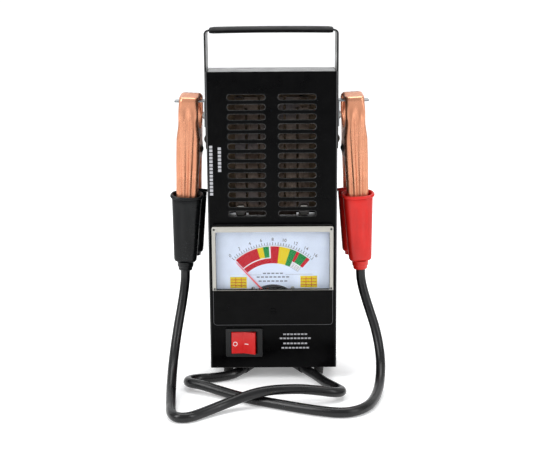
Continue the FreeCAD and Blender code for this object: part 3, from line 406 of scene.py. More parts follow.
zinc_steel = metal("zinc_steel", (0.60, 0.59, 0.56), (0.38, 0.37, 0.35), 0.28)
element_steel = metal("element_steel", (0.36, 0.35, 0.33), (0.20, 0.19, 0.18), 0.30, bright=(0.55, 0.53, 0.50),
                      browned_above=0.146)
rest_steel = metal("rest_steel", (0.34, 0.36, 0.37), (0.12, 0.13, 0.14), 0.30, stretch=(0.05, 1, 1))
spring_steel = metal("spring_steel", (0.55, 0.55, 0.54), (0.25, 0.25, 0.25), 0.22, stretch=(0.1, 1, 1))
dark_steel = metal("dark_steel", (0.07, 0.07, 0.07), (0.03, 0.03, 0.03), 0.34, wear=0.6)
copper_plate = metal("copper_plate", (0.80, 0.37, 0.22), (0.52, 0.19, 0.10), 0.25, stretch=(1, 1, 0.03),
                     scale=420.0, depth=0.000010, tarnish_share=0.45, bright=(0.95, 0.60, 0.42), wear=0.35,
                     Metallic=0.8)
tinned = metal("tinned", (0.72, 0.72, 0.70), (0.45, 0.45, 0.43), 0.20)
brass_plain = metal("brass_plain", (0.78, 0.58, 0.25), (0.45, 0.32, 0.14), 0.26)
aluminium_sheet = metal("aluminium_sheet", (0.74, 0.75, 0.76), (0.50, 0.50, 0.51), 0.32, stretch=(0.04, 1, 1))
magnet_iron = metal("magnet_iron", (0.16, 0.16, 0.17), (0.08, 0.08, 0.08), 0.45)
dial_white = coat("dial_white", (0.74, 0.81, 0.93), (0.75, 0.78, 0.82), 0.50, 0.05, 0.000005, wear=0.0, dust=0.0)
ceramic = speckled("ceramic", (0.82, 0.79, 0.72), (0.68, 0.64, 0.56), 0.6)
board_brown = speckled("board_brown", (0.22, 0.13, 0.07), (0.33, 0.22, 0.13), 0.5)
board_green = speckled("board_green", (0.03, 0.16, 0.07), (0.05, 0.22, 0.10), 0.3, 300.0, 0.00001)
component_grey = speckled("component_grey", (0.28, 0.31, 0.33), (0.40, 0.42, 0.42), 0.35)
window_clear = clear_moulding("window_clear", (0.97, 0.98, 1.0), 0.0, bend=1.2)
rim_clear = clear_moulding("rim_clear", (0.58, 0.56, 0.51), 0.18, 0.35)
pointer_red = coat("pointer_red", (0.86, 0.14, 0.16), (0.9, 0.4, 0.4), 0.40, wear=0.0, dust=0.0)
# The outline ink is a painted highlight: the grey of the clear rim's edge round the meter's lower cover.
INKS = {"red": ink("red_ink", (0.58, 0.003, 0.015)), "yellow": ink("yellow_ink", (0.84, 0.62, 0.010)),
        "green": ink("green_ink", (0.006, 0.27, 0.055)), "white": ink("white_ink", (0.86, 0.87, 0.88)),
        "grey": ink("grey_ink", (0.22, 0.24, 0.30)), "dark": ink("dark_ink", (0.05, 0.05, 0.07)),
        "outline": ink("rim_highlight_ink", (0.07, 0.07, 0.075)), "pale": ink("pale_ink", (0.38, 0.38, 0.40))}

CARRIED_OVER = {
    case_black: ["front_shell", "rear_cover"],
    strap_black: ["handle_strap"],
    rest_steel: ["clamp_rest_left", "clamp_rest_right"],
    element_steel: ["element_bolts", "element_nuts"],
    zinc_steel: ["clamp_pin_left", "clamp_pin_right", "meter_nuts", "meter_studs",
                 "terminal_nuts", "board_standoffs", "board_screws", "dial_screws", "handle_screws"],
    dark_steel: ["case_screws"],
    foot_rubber: ["feet"],
    boot_black: ["strain_relief_left", "strain_relief_right"],
    housing_black: ["meter_housing"],
    meter_black: ["meter_lower_cover", "zero_adjuster"],
    dial_white: ["dial_plate"],
    pointer_red: ["pointer"],
    wound_copper(): ["moving_coil"],
    magnet_iron: ["magnet_yoke", "iron_core"],
    brass_plain: ["movement_bridge", "rear_bearing", "terminal_studs"],
    aluminium_sheet: ["heat_shield"],
    switch_black: ["switch_body"],
    rocker_red: ["rocker"],
    tinned: ["switch_terminals", "lead_lugs", "lead_crimp_left", "lead_crimp_right"],
    heated_strip(): ["load_element"],
    ceramic: ["ceramic_spacers"],
    board_brown: ["element_board"],
    board_green: ["calibration_board"],
    component_grey: ["board_components"],
    wire_black: ["inner_lead_element", "inner_lead_switch"],
    wire_red: ["inner_lead_positive"],
}


def finish_carried_over():
    for material, names in CARRIED_OVER.items():
        for name in names:
            mesh = NODES[name].data
            for i in range(len(mesh.materials)):
                mesh.materials[i] = material
            if not mesh.materials:
                mesh.materials.append(material)


# ---- mesh helpers -----------------------------------------------------------------------------------------------
def piece(name, mesh, material, sharp=35.0):
    """Link a mesh as a finished piece at the origin, smooth but for edges sharper than the given angle."""
    mesh.shade_smooth()
    mesh.set_sharp_from_angle(angle=math.radians(sharp))
    made = loose(name, mesh)
    mesh.materials.clear()
    mesh.materials.append(material)
    return made


def mesh_of(name, points, faces, place=PANEL_FRAME):
    """A mesh from millimetre points, with its doubles merged and its faces turned outwards."""
    mesh = bpy.data.meshes.new(name)
    mesh.from_pydata([tuple(p) for p in points], [], faces)
    work = bmesh.new()
    work.from_mesh(mesh)
    bmesh.ops.remove_doubles(work, verts=work.verts, dist=0.0005)
    bmesh.ops.recalc_face_normals(work, faces=work.faces)
    work.to_mesh(mesh)
    work.free()
    mesh.transform(place)
    return mesh


def baked(source):
    """A plain mesh of an object as its modifiers leave it; the object is removed."""
    bpy.context.view_layer.update()
    ready = source.evaluated_get(bpy.context.evaluated_depsgraph_get())
    mesh = bpy.data.meshes.new_from_object(ready)
    bpy.data.objects.remove(source)
    return mesh


def shape_tree(name, counts, lengths):
    """An empty geometry tree with number and material inputs, their identifiers by name, and their values."""
    tree = bpy.data.node_groups.new(name, "GeometryNodeTree")
    kinds = {**{n: "NodeSocketInt" for n in counts}, **{n: "NodeSocketFloat" for n in lengths},
             "Material": "NodeSocketMaterial"}
    names = {n: tree.interface.new_socket(n, in_out="INPUT", socket_type=kind).identifier
             for n, kind in kinds.items()}
    tree.interface.new_socket("Geometry", in_out="OUTPUT", socket_type="NodeSocketGeometry")
    return tree, names, tree.nodes.new("NodeGroupInput").outputs


def end_tree(tree, given, geometry):
    """Make the geometry real, give it its material and send it out."""
    real = add(tree, "GeometryNodeRealizeInstances", {"Geometry": geometry})
    done = add(tree, "GeometryNodeSetMaterial", {"Geometry": real.outputs[0], "Material": given["Material"]})
    tree.links.new(done.outputs[0], tree.nodes.new("NodeGroupOutput").inputs[0])


def vector(tree, x=0.0, y=0.0, z=0.0):
    return add(tree, "ShaderNodeCombineXYZ", {0: x, 1: y, 2: z}).outputs[0]


def shaped_by(name, shape, sizes):
    """A plain mesh made by a geometry tree whose inputs are set by their sockets' identifiers."""
    tree, names = shape
    source = loose(name, bpy.data.meshes.new(name + "_seed"))
    made = source.modifiers.new("shape", "NODES")
    made.node_group = tree
    for socket, value in sizes.items():
        made[names[socket]] = value
    return baked(source)


def rings(stations, around, close_ends=False):
    """Points and faces of a skin laid over a list of rings that all have the same number of points."""
    points = [p for ring in stations for p in ring]
    faces = []
    for i in range(len(stations) - 1):
        for j in range(around):
            k = (j + 1) % around
            faces.append((i * around + j, i * around + k, (i + 1) * around + k, (i + 1) * around + j))
    if close_ends:
        last = (len(stations) - 1) * around
        faces += [tuple(range(around)), tuple(last + j for j in reversed(range(around)))]
    return points, faces


def slab(outline, y0, y1):
    """Points and faces of a flat outline, in x and z, given a depth."""
    n = len(outline)
    points = [(x, y, z) for y in (y0, y1) for x, z in outline]
    faces = [tuple(range(n)), tuple(reversed(range(n, 2 * n)))]
    faces += [(i, (i + 1) % n, n + (i + 1) % n, n + i) for i in range(n)]
    return points, faces


def together(parts):
    """Several points-and-faces pairs as one."""
    points, faces = [], []
    for some_points, some_faces in parts:
        base = len(points)
        points += some_points
        faces += [tuple(base + i for i in face) for face in some_faces]
    return points, faces


def rectangle(x0, x1, z0, z1):
    return [(x0, z0), (x1, z0), (x1, z1), (x0, z1)]


def rounded_outline(x0, x1, z0, z1, radii, steps=6):
    """Rectangle whose corners are arcs; radii go round from the lower left."""
    corners = [(x0, z0, 1, 1, 180), (x1, z0, -1, 1, 270), (x1, z1, -1, -1, 0), (x0, z1, 1, -1, 90)]
    points = []
    for (x, z, right, up, start), radius in zip(corners, radii):
        for i in range(steps + 1):
            turn = math.radians(start + 90 * i / steps)
            points.append((x + radius * (right + math.cos(turn)), z + radius * (up + math.sin(turn))))
    return points


def disc(x, z, radius, around=24):
    turns = [2 * math.pi * i / around for i in range(around)]
    return [(x + radius * math.cos(t), z + radius * math.sin(t)) for t in turns]


def ring_plate(outer, inner, y0, y1, soft=0.0):
    """Points and faces of a flat frame between two outlines of equal count; soft rounds its front outer edge."""
    n = len(outer)
    mid_x, mid_z = (sum(p[k] for p in outer) / n for k in (0, 1))
    drawn_in = [(x - math.copysign(soft, x - mid_x), z - math.copysign(soft, z - mid_z)) for x, z in outer]
    loops = [(outer, y1), (outer, y0 + soft)] + ([(drawn_in, y0)] if soft else []) + [(inner, y0), (inner, y1)]
    points = [(x, y, z) for outline, y in loops for x, z in outline]
    faces = []
    for i in range(len(loops)):
        k = (i + 1) % len(loops)
        faces += [(i * n + j, i * n + (j + 1) % n, k * n + (j + 1) % n, k * n + j) for j in range(n)]
    return points, faces


# ---- spring clamps ----------------------------------------------------------------------------------------------
LEAN, YAW = math.radians(2.26), math.radians(5.0)
TIP, HANDLE_END = 46.5, -88.0          # along a clamp from its pin
WEB, BEND = 16.5, -24.0                # how far the webs stand off, down to the bend of the handles
NEAR = 0.6                             # half the gap between the closed halves
HANDLE_OUT = {-1: 19.0, 1: 25.0}       # where the front and the rear handle end
MOUTH_R, MOUTH_MID = 14.5, 31.0
EAR_R, NECK_Y = 7.8, -14.9
TIP_CORNER, TIP_SLOPE = 3.6, 2.6       # rounding of the tip, and how far its top falls towards the front
FLUTES_START, FLUTE = 36.5, 0.75       # where the stamped flutes begin, and their height
BOOT_TOP, BOOT_SHOULDER, BOOT_STEP, BOOT_END = -38.5, -94.5, -99.0, -102.0
BOOT_INSET = 3.4                       # a sleeve's middle lies this far inside its handle's web
BOOT_POWER = 2.6                       # how square a sleeve's section is
MOUTH_SAG = 0.22                       # fall of a sleeve's mouth towards its outer side
SHEET = 0.9                            # thickness of the pressed halves
CORNER_R = 3.0                         # bend between a half's web and its side walls
SLEEVE_X, SLEEVE_Y = (12.6, 3.1), (8.2, 2.0)     # half sizes of a sleeve at its mouth, and what its end loses
RIM_X, RIM_Y, RIM_ROLL = 12.75, 8.0, 1.3         # the rolled rim round a sleeve's mouth
AROUND = 56                            # points round a sleeve or the grip
SIDES = {"left": -1, "right": 1}


def clamp_frame(side):
    """From a clamp's own millimetres, with its pin at zero, to where it hangs."""
    pin = Vector(JOINTS["clamp_%s_open" % ("left" if side < 0 else "right")]["pos_m"])
    turn = Matrix.Rotation(-side * LEAN, 4, "Y") @ Matrix.Rotation(side * YAW, 4, "Z")
    return Matrix.Translation(pin) @ turn @ TO_METRES


def between(value, pairs):
    """Straight-line value between (key, value) pairs whose keys fall."""
    for (a, va), (b, vb) in zip(pairs, pairs[1:]):
        if value >= b:
            share = min(max((a - value) / (a - b), 0.0), 1.0)
            return va + (vb - va) * share
    return pairs[-1][1]


def smooth(value, low, high):
    share = min(max((value - low) / (high - low), 0.0), 1.0)
    return share * share * (3 - 2 * share)


def handle_line(out, z):
    return WEB + (out - WEB) * max(0.0, (BEND - z) / (BEND - HANDLE_END))


def flange_edge(z, out):
    """How far from the middle plane a half's side wall ends at height z; below zero it crosses over (the ear)."""
    if abs(z - MOUTH_MID) < MOUTH_R:
        return max(NEAR, math.sqrt(MOUTH_R ** 2 - (z - MOUTH_MID) ** 2))
    if -6.4 < z < EAR_R:
        return -math.sqrt(EAR_R ** 2 - z * z)
    if z >= EAR_R:
        return NEAR
    return between(z, [(-4.5, 6.5), (-26.0, WEB - 6.0), (HANDLE_END, out - 5.6)])


JAW_WIDTHS = {-1: [(TIP + 1, 7.9), (20.0, 8.3), (9.0, 9.6), (-9.0, 9.6), (-36.0, 9.0), (HANDLE_END - 1, 6.3)],
              1: [(TIP + 1, 7.9), (20.0, 8.0), (9.0, 8.25), (-9.0, 8.25), (-36.0, 8.25), (HANDLE_END - 1, 6.3)]}


def stamped(x, z):
    """Height of the stamped flutes in a web: two ridges either side of a groove, fading out below the tip."""
    pitch = 7.4 - 2.6 * smooth(-z, -FLUTES_START, 40.0)
    start = FLUTES_START - 0.12 * x * x
    fading = smooth(start - z, 0.0, 12.0) * smooth(7.6 - abs(x), 0.0, 2.6)
    return FLUTE * -math.cos(2 * math.pi * x / pitch) * fading


def side_path(out):
    """Stations up a half: (outer point, end of the side wall, height that sets the width), in the y-z plane."""
    stations = []
    z = HANDLE_END
    shoulder = TIP - TIP_SLOPE - TIP_CORNER
    flat = WEB - TIP_CORNER                # from here the top runs in to the lip
    wall_start, wall_rise = 40.9, 3.5      # where the side wall ends while the web turns the corner
    lip_y, lip_fall = 3.0, 5.2
    while z < shoulder:
        stations.append(((handle_line(out, z), z), (flange_edge(z, out), z), z))
        z += 0.9 if -10 < z < 9 else 1.5
    for i in range(7):
        turn = math.radians(90 * i / 6)
        reach = wall_start + wall_rise * i / 6
        edge = math.sqrt(MOUTH_R ** 2 - (reach - MOUTH_MID) ** 2)
        corner = (flat + TIP_CORNER * math.cos(turn), shoulder + TIP_CORNER * math.sin(turn))
        stations.append((corner, (edge, reach), TIP))
    for i in range(1, 8):
        y = flat + (lip_y - flat) * i / 7
        stations.append(((y, TIP - TIP_SLOPE * (1 - i / 7)),
                         (min(y, lip_fall - 0.6 * i), wall_start + wall_rise + 0.14 * i), TIP))
    return stations


def tooth(x):
    """Saw-toothed lip, so that the closed halves leave dark notches between them."""
    return 2.1 * abs((x / 4.2) % 1.0 - 0.5) * 2


def jaw_half(name, side, half):
    """Pressed half of a clamp: fluted web, rounded corners, side walls with mouth and ear, toothed lip."""
    out = HANDLE_OUT[half]
    around, wall, arc = 30, 6, 5
    stations = []
    for (y, z), (edge_y, edge_z), height in side_path(out):
        width = between(height, JAW_WIDTHS[half])
        depth = Vector((edge_y - y, edge_z - z))
        length = max(depth.length, 0.3)
        inward = depth / max(depth.length, 1e-6)
        radius = min(CORNER_R, length * 0.8)
        row = []
        for i in range(wall):
            row.append((-width, length - (length - radius) * i / wall))
        for i in range(arc + 1):
            turn = math.radians(90 * i / arc)
            row.append((-width + radius * (1 - math.cos(turn)), radius * (1 - math.sin(turn))))
        flat = width - radius
        for i in range(1, around):
            row.append((-flat + 2 * flat * i / around, 0.0))
        row += [(-x, t) for x, t in reversed(row[:wall + arc + 1])]
        ring = []
        for x, t in row:
            raise_by = stamped(x, z) if t == 0.0 and height < TIP else 0.0
            ring.append((x, half * (y + inward.x * t + raise_by), z + inward.y * t))
        stations.append(ring)
    lip = stations[-1]
    for drop in (0.0, 0.6, 2.6, 4.5):
        stations.append([(x * 0.97, half * (NEAR + 0.1 + tooth(x)), min(z, TIP) - drop) for x, _, z in lip])
    across = len(stations[0])
    points = [p for ring in stations for p in ring]
    faces = []
    for i in range(len(stations) - 1):
        for j in range(across - 1):
            a = i * across + j
            faces.append((a, a + 1, a + across + 1, a + across) if half < 0 else
                         (a, a + across, a + across + 1, a + 1))
    mesh = bpy.data.meshes.new(name)
    mesh.from_pydata(points, [], faces)
    sheet = loose(name, mesh)
    solid = sheet.modifiers.new("sheet", "SOLIDIFY")
    solid.thickness, solid.offset, solid.use_even_offset = SHEET, -1.0, False
    mesh = baked(sheet)
    mesh.transform(clamp_frame(side))
    return piece(name, mesh, copper_plate, 50)


def superellipse(x_half, y_half, y_mid, z, power):
    ring = []
    for i in range(AROUND):
        turn = 2 * math.pi * i / AROUND
        c, s = math.cos(turn), math.sin(turn)
        reach = (abs(c / x_half) ** power + abs(s / y_half) ** power) ** (-1 / power)
        ring.append((reach * c, y_mid + reach * s, z))
    return ring


def boot(name, side, half, material):
    """Dipped vinyl sleeve: rolled rim, tapering body with soft hollows, and on the front one the lead's neck."""
    out = HANDLE_OUT[half]

    def middle(z):
        return half * (handle_line(out, z) - BOOT_INSET)

    def body(z, less, power=BOOT_POWER):
        down = (BOOT_TOP - z) / (BOOT_TOP - BOOT_SHOULDER)
        half_x, half_y = (mouth - loss * down - less for mouth, loss in (SLEEVE_X, SLEEVE_Y))
        return superellipse(half_x, half_y, middle(z), z, power)

    def neck(z, radius):
        return superellipse(radius, radius, NECK_Y, z, 2.0)

    stations = [body(z, 1.5) for z in (-60.0, -50.0, -40.0, BOOT_TOP + 0.4)]
    for i in range(9):
        turn = math.radians(150 - 250 * i / 8)
        grow, rise = RIM_ROLL * math.cos(turn), RIM_ROLL * math.sin(turn)
        stations.append(superellipse(RIM_X + grow, RIM_Y + grow, middle(BOOT_TOP), BOOT_TOP + 0.2 + rise,
                                     BOOT_POWER))
    z = BOOT_TOP - 2.6
    while z > BOOT_SHOULDER + 2.5:
        stations.append(body(z, 0.0))
        z -= 2.4
    stations += [body(BOOT_SHOULDER + 1.6, 0.15), body(BOOT_SHOULDER + 0.5, 0.8, 3.0),
                 body(BOOT_SHOULDER, 1.9, 3.0)]
    if half < 0:
        stations += [neck(z, radius) for z, radius in (
            (BOOT_SHOULDER - 0.3, 7.2), (BOOT_SHOULDER - 1.0, 6.9), (BOOT_STEP + 0.6, 6.8), (BOOT_STEP, 6.5),
            (BOOT_STEP - 0.1, 6.1), (BOOT_END + 0.6, 5.9), (BOOT_END, 5.4), (BOOT_END - 0.1, 4.2),
            (BOOT_END + 9.0, 4.2))]
    else:
        tip = BOOT_SHOULDER - 3.0
        stations += [superellipse(7.2, 4.4, middle(tip), tip, 2.8),
                     superellipse(6.0, 3.2, middle(tip), tip - 0.5, 2.5)]
    points, faces = rings(stations, AROUND, close_ends=True)
    moulded = []
    for x, y, z in points:
        shallow = smooth(-z, 40, 52) * smooth(z, -92, -70)
        front = smooth(half * (y - middle(max(z, BOOT_SHOULDER))), 2.0, 6.0)
        dish = -0.9 * shallow * front * math.exp(-((abs(x) - 4.4) / 2.2) ** 2)
        sag = MOUTH_SAG * half * (y - middle(BOOT_TOP)) * smooth(z, BOOT_TOP - 20.0, BOOT_TOP)
        moulded.append((x, y + half * dish, z - sag))
    mesh = mesh_of(name, moulded, faces, clamp_frame(side))
    return piece(name, mesh, material, 60)


def spring_tree():
    """Close coil with its axis along x and a straight leg from each end, in millimetres."""
    tree, names, given = shape_tree("clamp_spring", (), ("Coil Radius", "Length", "Turns", "Wire Radius",
                                                         "Leg Out", "Leg Down"))
    coil = add(tree, "GeometryNodeCurveSpiral", {"Resolution": 28, "Rotations": given["Turns"],
                                                 "Start Radius": given["Coil Radius"],
                                                 "End Radius": given["Coil Radius"], "Height": given["Length"]})
    laid = add(tree, "GeometryNodeTransform", {"Geometry": coil.outputs[0], "Rotation": (0, math.pi / 2, 0)})
    middle = vector(tree, times(tree, given["Length"], -0.5))
    placed = add(tree, "GeometryNodeTransform", {"Geometry": laid.outputs[0], "Translation": middle})
    joined = add(tree, "GeometryNodeJoinGeometry")
    tree.links.new(placed.outputs[0], joined.inputs[0])
    for side in (-1.0, 1.0):
        x = times(tree, given["Length"], 0.5 * side)
        start = vector(tree, x, z=times(tree, given["Coil Radius"], -1.0))
        stop = vector(tree, x, times(tree, given["Leg Out"], side),
                      times(tree, given["Leg Down"], -1.0))
        leg = add(tree, "GeometryNodeCurvePrimitiveLine", {"Start": start, "End": stop})
        tree.links.new(leg.outputs[0], joined.inputs[0])
    section = add(tree, "GeometryNodeCurvePrimitiveCircle", {"Resolution": 12, "Radius": given["Wire Radius"]})
    wire = add(tree, "GeometryNodeCurveToMesh", {"Curve": joined.outputs[0], "Profile Curve": section.outputs[0],
                                                 "Fill Caps": True})
    end_tree(tree, given, wire.outputs[0])
    return tree, names


def make_clamps():
    shape = spring_tree()
    sizes = {"Coil Radius": 4.3, "Length": 9.5, "Turns": 5.0, "Wire Radius": 0.75, "Leg Out": 14.5,
             "Leg Down": 22.0, "Material": spring_steel}
    for name, side in SIDES.items():
        rear = "clamp_%s_rear" % name
        vinyl, slot = (boot_black, "boot_black") if side < 0 else (boot_red, "boot_red")
        for half, where, body in ((-1, "front", "root"), (1, "rear", rear)):
            jaw = jaw_half("%s_jaw_%s_pressed" % (where, name), side, half)
            sleeve = boot("%s_boot_%s_moulded" % (where, name), side, half, vinyl)
            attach(jaw, body)
            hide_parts("%s_jaw_%s" % (where, name))
            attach(sleeve, body)
            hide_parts("%s_boot_%s" % (where, name))
        mesh = shaped_by("coil_" + name, shape, sizes)
        place = clamp_frame(side)
        mesh.transform(place)
        spring = piece("clamp_spring_%s_wound" % name, mesh, spring_steel)
        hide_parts("clamp_spring_" + name)
        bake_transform(spring)


# ---- leads ------------------------------------------------------------------------------------------------------
LEAD_D = 0.008
RED_LEAD = [(-0.0257, -0.0092, 0.0054), (-0.0312, -0.0210, 0.0054), (-0.0375, -0.0254, 0.0046),
            (-0.0500, -0.0294, 0.0040), (-0.0625, -0.0309, 0.0040), (-0.0715, -0.0384, 0.0054),
            (-0.0710, -0.0494, 0.0070), (-0.0610, -0.0554, 0.0076), (-0.0465, -0.0629, 0.0056),
            (-0.0240, -0.0774, 0.0040), (0.0040, -0.0919, 0.0040), (0.0330, -0.1059, 0.0040),
            (0.0560, -0.1124, 0.0040), (0.0735, -0.0999, 0.0040), (0.0825, -0.0774, 0.0044),
            (0.0880, -0.0534, 0.0076), (0.0905, -0.0334, 0.0215), (0.0875, -0.0209, 0.0420),
            (0.0805, -0.0134, 0.0630), (0.0752, -0.0098, 0.0810), (0.0744, -0.0092, 0.0920),
            (0.0738, -0.0092, 0.1060)]
BLACK_LEAD = [(0.0257, -0.0092, 0.0054), (0.0312, -0.0210, 0.0054), (0.0360, -0.0269, 0.0046),
              (0.0430, -0.0424, 0.0040), (0.0515, -0.0569, 0.0046), (0.0565, -0.0699, 0.0060),
              (0.0495, -0.0789, 0.0084), (0.0360, -0.0809, 0.0112), (0.0180, -0.0834, 0.0138),
              (-0.0100, -0.0884, 0.0140), (-0.0340, -0.0934, 0.0070), (-0.0550, -0.1089, 0.0040),
              (-0.0655, -0.1189, 0.0040), (-0.0750, -0.1184, 0.0040), (-0.0798, -0.1084, 0.0040),
              (-0.0814, -0.0909, 0.0044), (-0.0834, -0.0664, 0.0090), (-0.0836, -0.0419, 0.0230),
              (-0.0810, -0.0239, 0.0450), (-0.0772, -0.0139, 0.0660), (-0.0747, -0.0098, 0.0830),
              (-0.0744, -0.0092, 0.0920), (-0.0738, -0.0092, 0.1060)]


def make_lead(name, node, route):
    curve = bpy.data.curves.new(name, "CURVE")
    curve.dimensions = "3D"
    curve.resolution_u = 10
    curve.bevel_depth = LEAD_D / 2
    curve.bevel_resolution = 6
    curve.use_fill_caps = True
    spline = curve.splines.new("NURBS")
    spline.points.add(len(route) - 1)
    for point, place in zip(spline.points, route):
        point.co = (*place, 1.0)
    spline.order_u = 3
    spline.use_endpoint_u = True
    curve.materials.append(cable_black)
    lead = loose(name, curve)
    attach(lead, "root")
    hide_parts(node)


# ---- carrying handle --------------------------------------------------------------------------------------------
def make_grip():
    """Vinyl sleeve pulled over the strap: slightly arched, with soft open ends."""
    low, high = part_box("grip_sleeve")
    size = (high - low) / 2 / MM
    steps, arch, square = 34, 0.5, 3.4
    stations = []
    for i in range(steps + 1):
        x = -1 + 2 * i / steps
        end = smooth(abs(x), 0.95, 1.0)
        ring = superellipse(size.y - 0.7 * end, size.z * (1 - 0.14 * end) - 0.2, 0, 0, square)
        stations.append([(x * size.x, y, z + arch * (1 - x * x)) for y, z, _ in ring])
    first, last = stations[0], stations[-1]
    bore = [[(x, y * 0.93, z * 0.62) for x, y, z in ring] for ring in (last, stations[-6], stations[5], first)]
    points, faces = rings(stations + bore + [first], AROUND)
    mesh = mesh_of("grip", points, faces, Matrix.Translation((low + high) / 2) @ TO_METRES)
    grip = piece("grip_sleeve_moulded", mesh, grip_black, 50)
    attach(grip, "root")
    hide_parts("grip_sleeve")


# ---- panel meter ------------------------------------------------------------------------------------------------
PIVOT = 60.0                           # height of the pointer's axis
DIAL_FACE, PRINT = -3.4, 0.05          # front of the dial plate, and the thickness of the print on it


def polar(radius, degrees):
    turn = math.radians(degrees)
    return radius * math.sin(turn), PIVOT + radius * math.cos(turn)


def sector(inner, outer, start, stop):
    steps = max(2, int((stop - start) / 1.5))
    turns = [start + (stop - start) * i / steps for i in range(steps + 1)]
    return [polar(outer, t) for t in turns] + [polar(inner, t) for t in reversed(turns)]


def printed(name, outlines, colour, front=DIAL_FACE, thick=PRINT):
    """Flat outlines printed on a face, as thin closed plates."""
    points, faces = together([slab(o, front - thick, front + 0.01) for o in outlines])
    mark = piece(name, mesh_of(name, points, faces), INKS[colour])
    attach(mark, "root")


def scale_tree():
    """Marks set round an arc, every other one longer."""
    tree, names, given = shape_tree("scale_marks", ("Count",), ("First Turn", "Step Turn", "Radius", "Length",
                                                                "Width", "Depth"))
    spots = add(tree, "GeometryNodeMeshLine", {"Count": given["Count"], "Offset": (0, 0, 0)}).outputs[0]
    index = add(tree, "GeometryNodeInputIndex").outputs[0]
    turn = calc(tree, "ADD", given["First Turn"], times(tree, index, given["Step Turn"]))
    across = times(tree, calc(tree, "SINE", turn), given["Radius"])
    height = times(tree, calc(tree, "COSINE", turn), given["Radius"])
    moved = add(tree, "GeometryNodeSetPosition", {"Geometry": spots, "Position": vector(tree, across, z=height)})
    size = vector(tree, given["Width"], given["Depth"], given["Length"])
    bar = add(tree, "GeometryNodeMeshCube", {"Size": size})
    shorter = times(tree, calc(tree, "MODULO", index, 2.0), 0.35)
    set_out = add(tree, "GeometryNodeInstanceOnPoints", {
        "Points": moved.outputs[0], "Instance": bar.outputs[0], "Rotation": vector(tree, y=turn),
        "Scale": vector(tree, 1.0, 1.0, calc(tree, "SUBTRACT", 1.0, shorter))})
    end_tree(tree, given, set_out.outputs[0])
    return tree, names


VOLT = 5.3                             # degrees of scale for each volt


def make_scale():
    sizes = {"Count": 33, "First Turn": math.radians(-8 * VOLT), "Step Turn": math.radians(VOLT / 2),
             "Radius": 48.8, "Length": 2.7, "Width": 0.42, "Depth": PRINT, "Material": INKS["dark"]}
    mesh = shaped_by("scale", scale_tree(), sizes)
    mesh.transform(PANEL_FRAME @ Matrix.Translation((0, DIAL_FACE - PRINT / 2, PIVOT)))
    marks = piece("dial_scale_marks", mesh, INKS["dark"])
    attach(marks, "root")
    work = bmesh.new()
    for volts in range(0, 17, 2):
        degrees = (volts - 8) * VOLT
        text = bpy.data.curves.new("figure", "FONT")
        text.body, text.size, text.extrude = str(volts), 3.9, PRINT / 2
        text.align_x = text.align_y = "CENTER"
        text.resolution_u = 4
        mesh = baked(loose("figure", text))
        x, z = polar(52.4, degrees)
        turn = Matrix.Rotation(math.radians(degrees * 0.6), 4, "Y") @ Matrix.Rotation(math.pi / 2, 4, "X")
        mesh.transform(Matrix.Translation((x, DIAL_FACE - PRINT / 2, z)) @ turn)
        work.from_mesh(mesh)
    joined = bpy.data.meshes.new("figures")
    work.to_mesh(joined)
    work.free()
    joined.transform(PANEL_FRAME)
    numbers = piece("dial_figures", joined, INKS["dark"])
    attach(numbers, "root")


def make_dial_print():
    make_scale()
    top, split, foot, gap = 46.6, 36.9, 32.2, 0.45
    left, right = -41.2, 41.2
    full = [("red", -2.3, 6.9), ("yellow", 6.9, 18.3), ("green", 18.3, 25.3)]
    upper = [("red", left, -16.2), ("yellow", -16.2, -10.0), ("green", -10.0, -4.0), ("red", 25.3, 28.7),
             ("green", 28.7, 37.4), ("red", 37.4, right)]
    sectors = {"red": [], "yellow": [], "green": []}
    for inner, bands in ((foot, full), (split + gap, upper)):
        for colour, start, stop in bands:
            sectors[colour].append(sector(inner, top, start, stop))
    sectors["red"].append(sector(foot, split - gap, left, -2.3))
    for colour, outlines in sectors.items():
        printed("dial_band_" + colour, outlines, colour)
    border = [sector(top, top + 0.5, left, right), sector(split - gap, split + gap, left, -4.0),
              sector(split, top, -4.0, -2.3), sector(foot, split + gap, 25.3, 39.5)]
    printed("dial_band_white", border, "white", thick=PRINT * 0.8)
    fine = [sector(47.5, 47.75, -8 * VOLT, 8 * VOLT), sector(foot, split, 25.4, 25.9),
            sector(foot, split, 39.0, 39.5), sector(foot, foot + 0.25, 25.4, 39.5)]
    for row in range(3):
        for start in (27.5, 31.5, 35.0):
            fine.append(sector(foot + 1.0 + row * 1.2, foot + 1.4 + row * 1.2, start, start + 2.6))
    printed("dial_fine_lines", fine, "grey", thick=PRINT * 1.3)
    tables, lines, line = [], [], 0.22
    for x0, x1, z0, z1 in ((-35.6, -21.8, 70.9, 80.6), (22.9, 36.9, 71.2, 81.2)):
        tables.append(rectangle(x0, x1, z0, z1))
        for i in range(1, 4):
            z = z0 + (z1 - z0) * i / 4
            lines.append(rectangle(x0 + 0.4, x1 - 0.4, z - line, z + line))
        for i in range(1, 3):
            x = x0 + (x1 - x0) * i / 3
            lines.append(rectangle(x - line, x + line, z0 + 0.4, z1 - 0.4))
    printed("dial_tables", tables, "yellow")
    printed("dial_table_lines", lines, "red", thick=PRINT * 1.5)
    rules = [rectangle(-25.0, -9.5, 82.2, 82.4), rectangle(10.5, 33.0, 82.5, 82.7)]
    for z, half_width, dashes in ((83.5, 8.8, 5), (80.4, 14.0, 8), (76.9, 12.5, 7)):
        step = 2 * half_width / dashes
        rules += [rectangle(0.5 - half_width + step * i, 0.5 - half_width + step * (i + 0.72), z - 0.55, z + 0.55)
                  for i in range(dashes)]
    printed("dial_rules", rules, "grey")


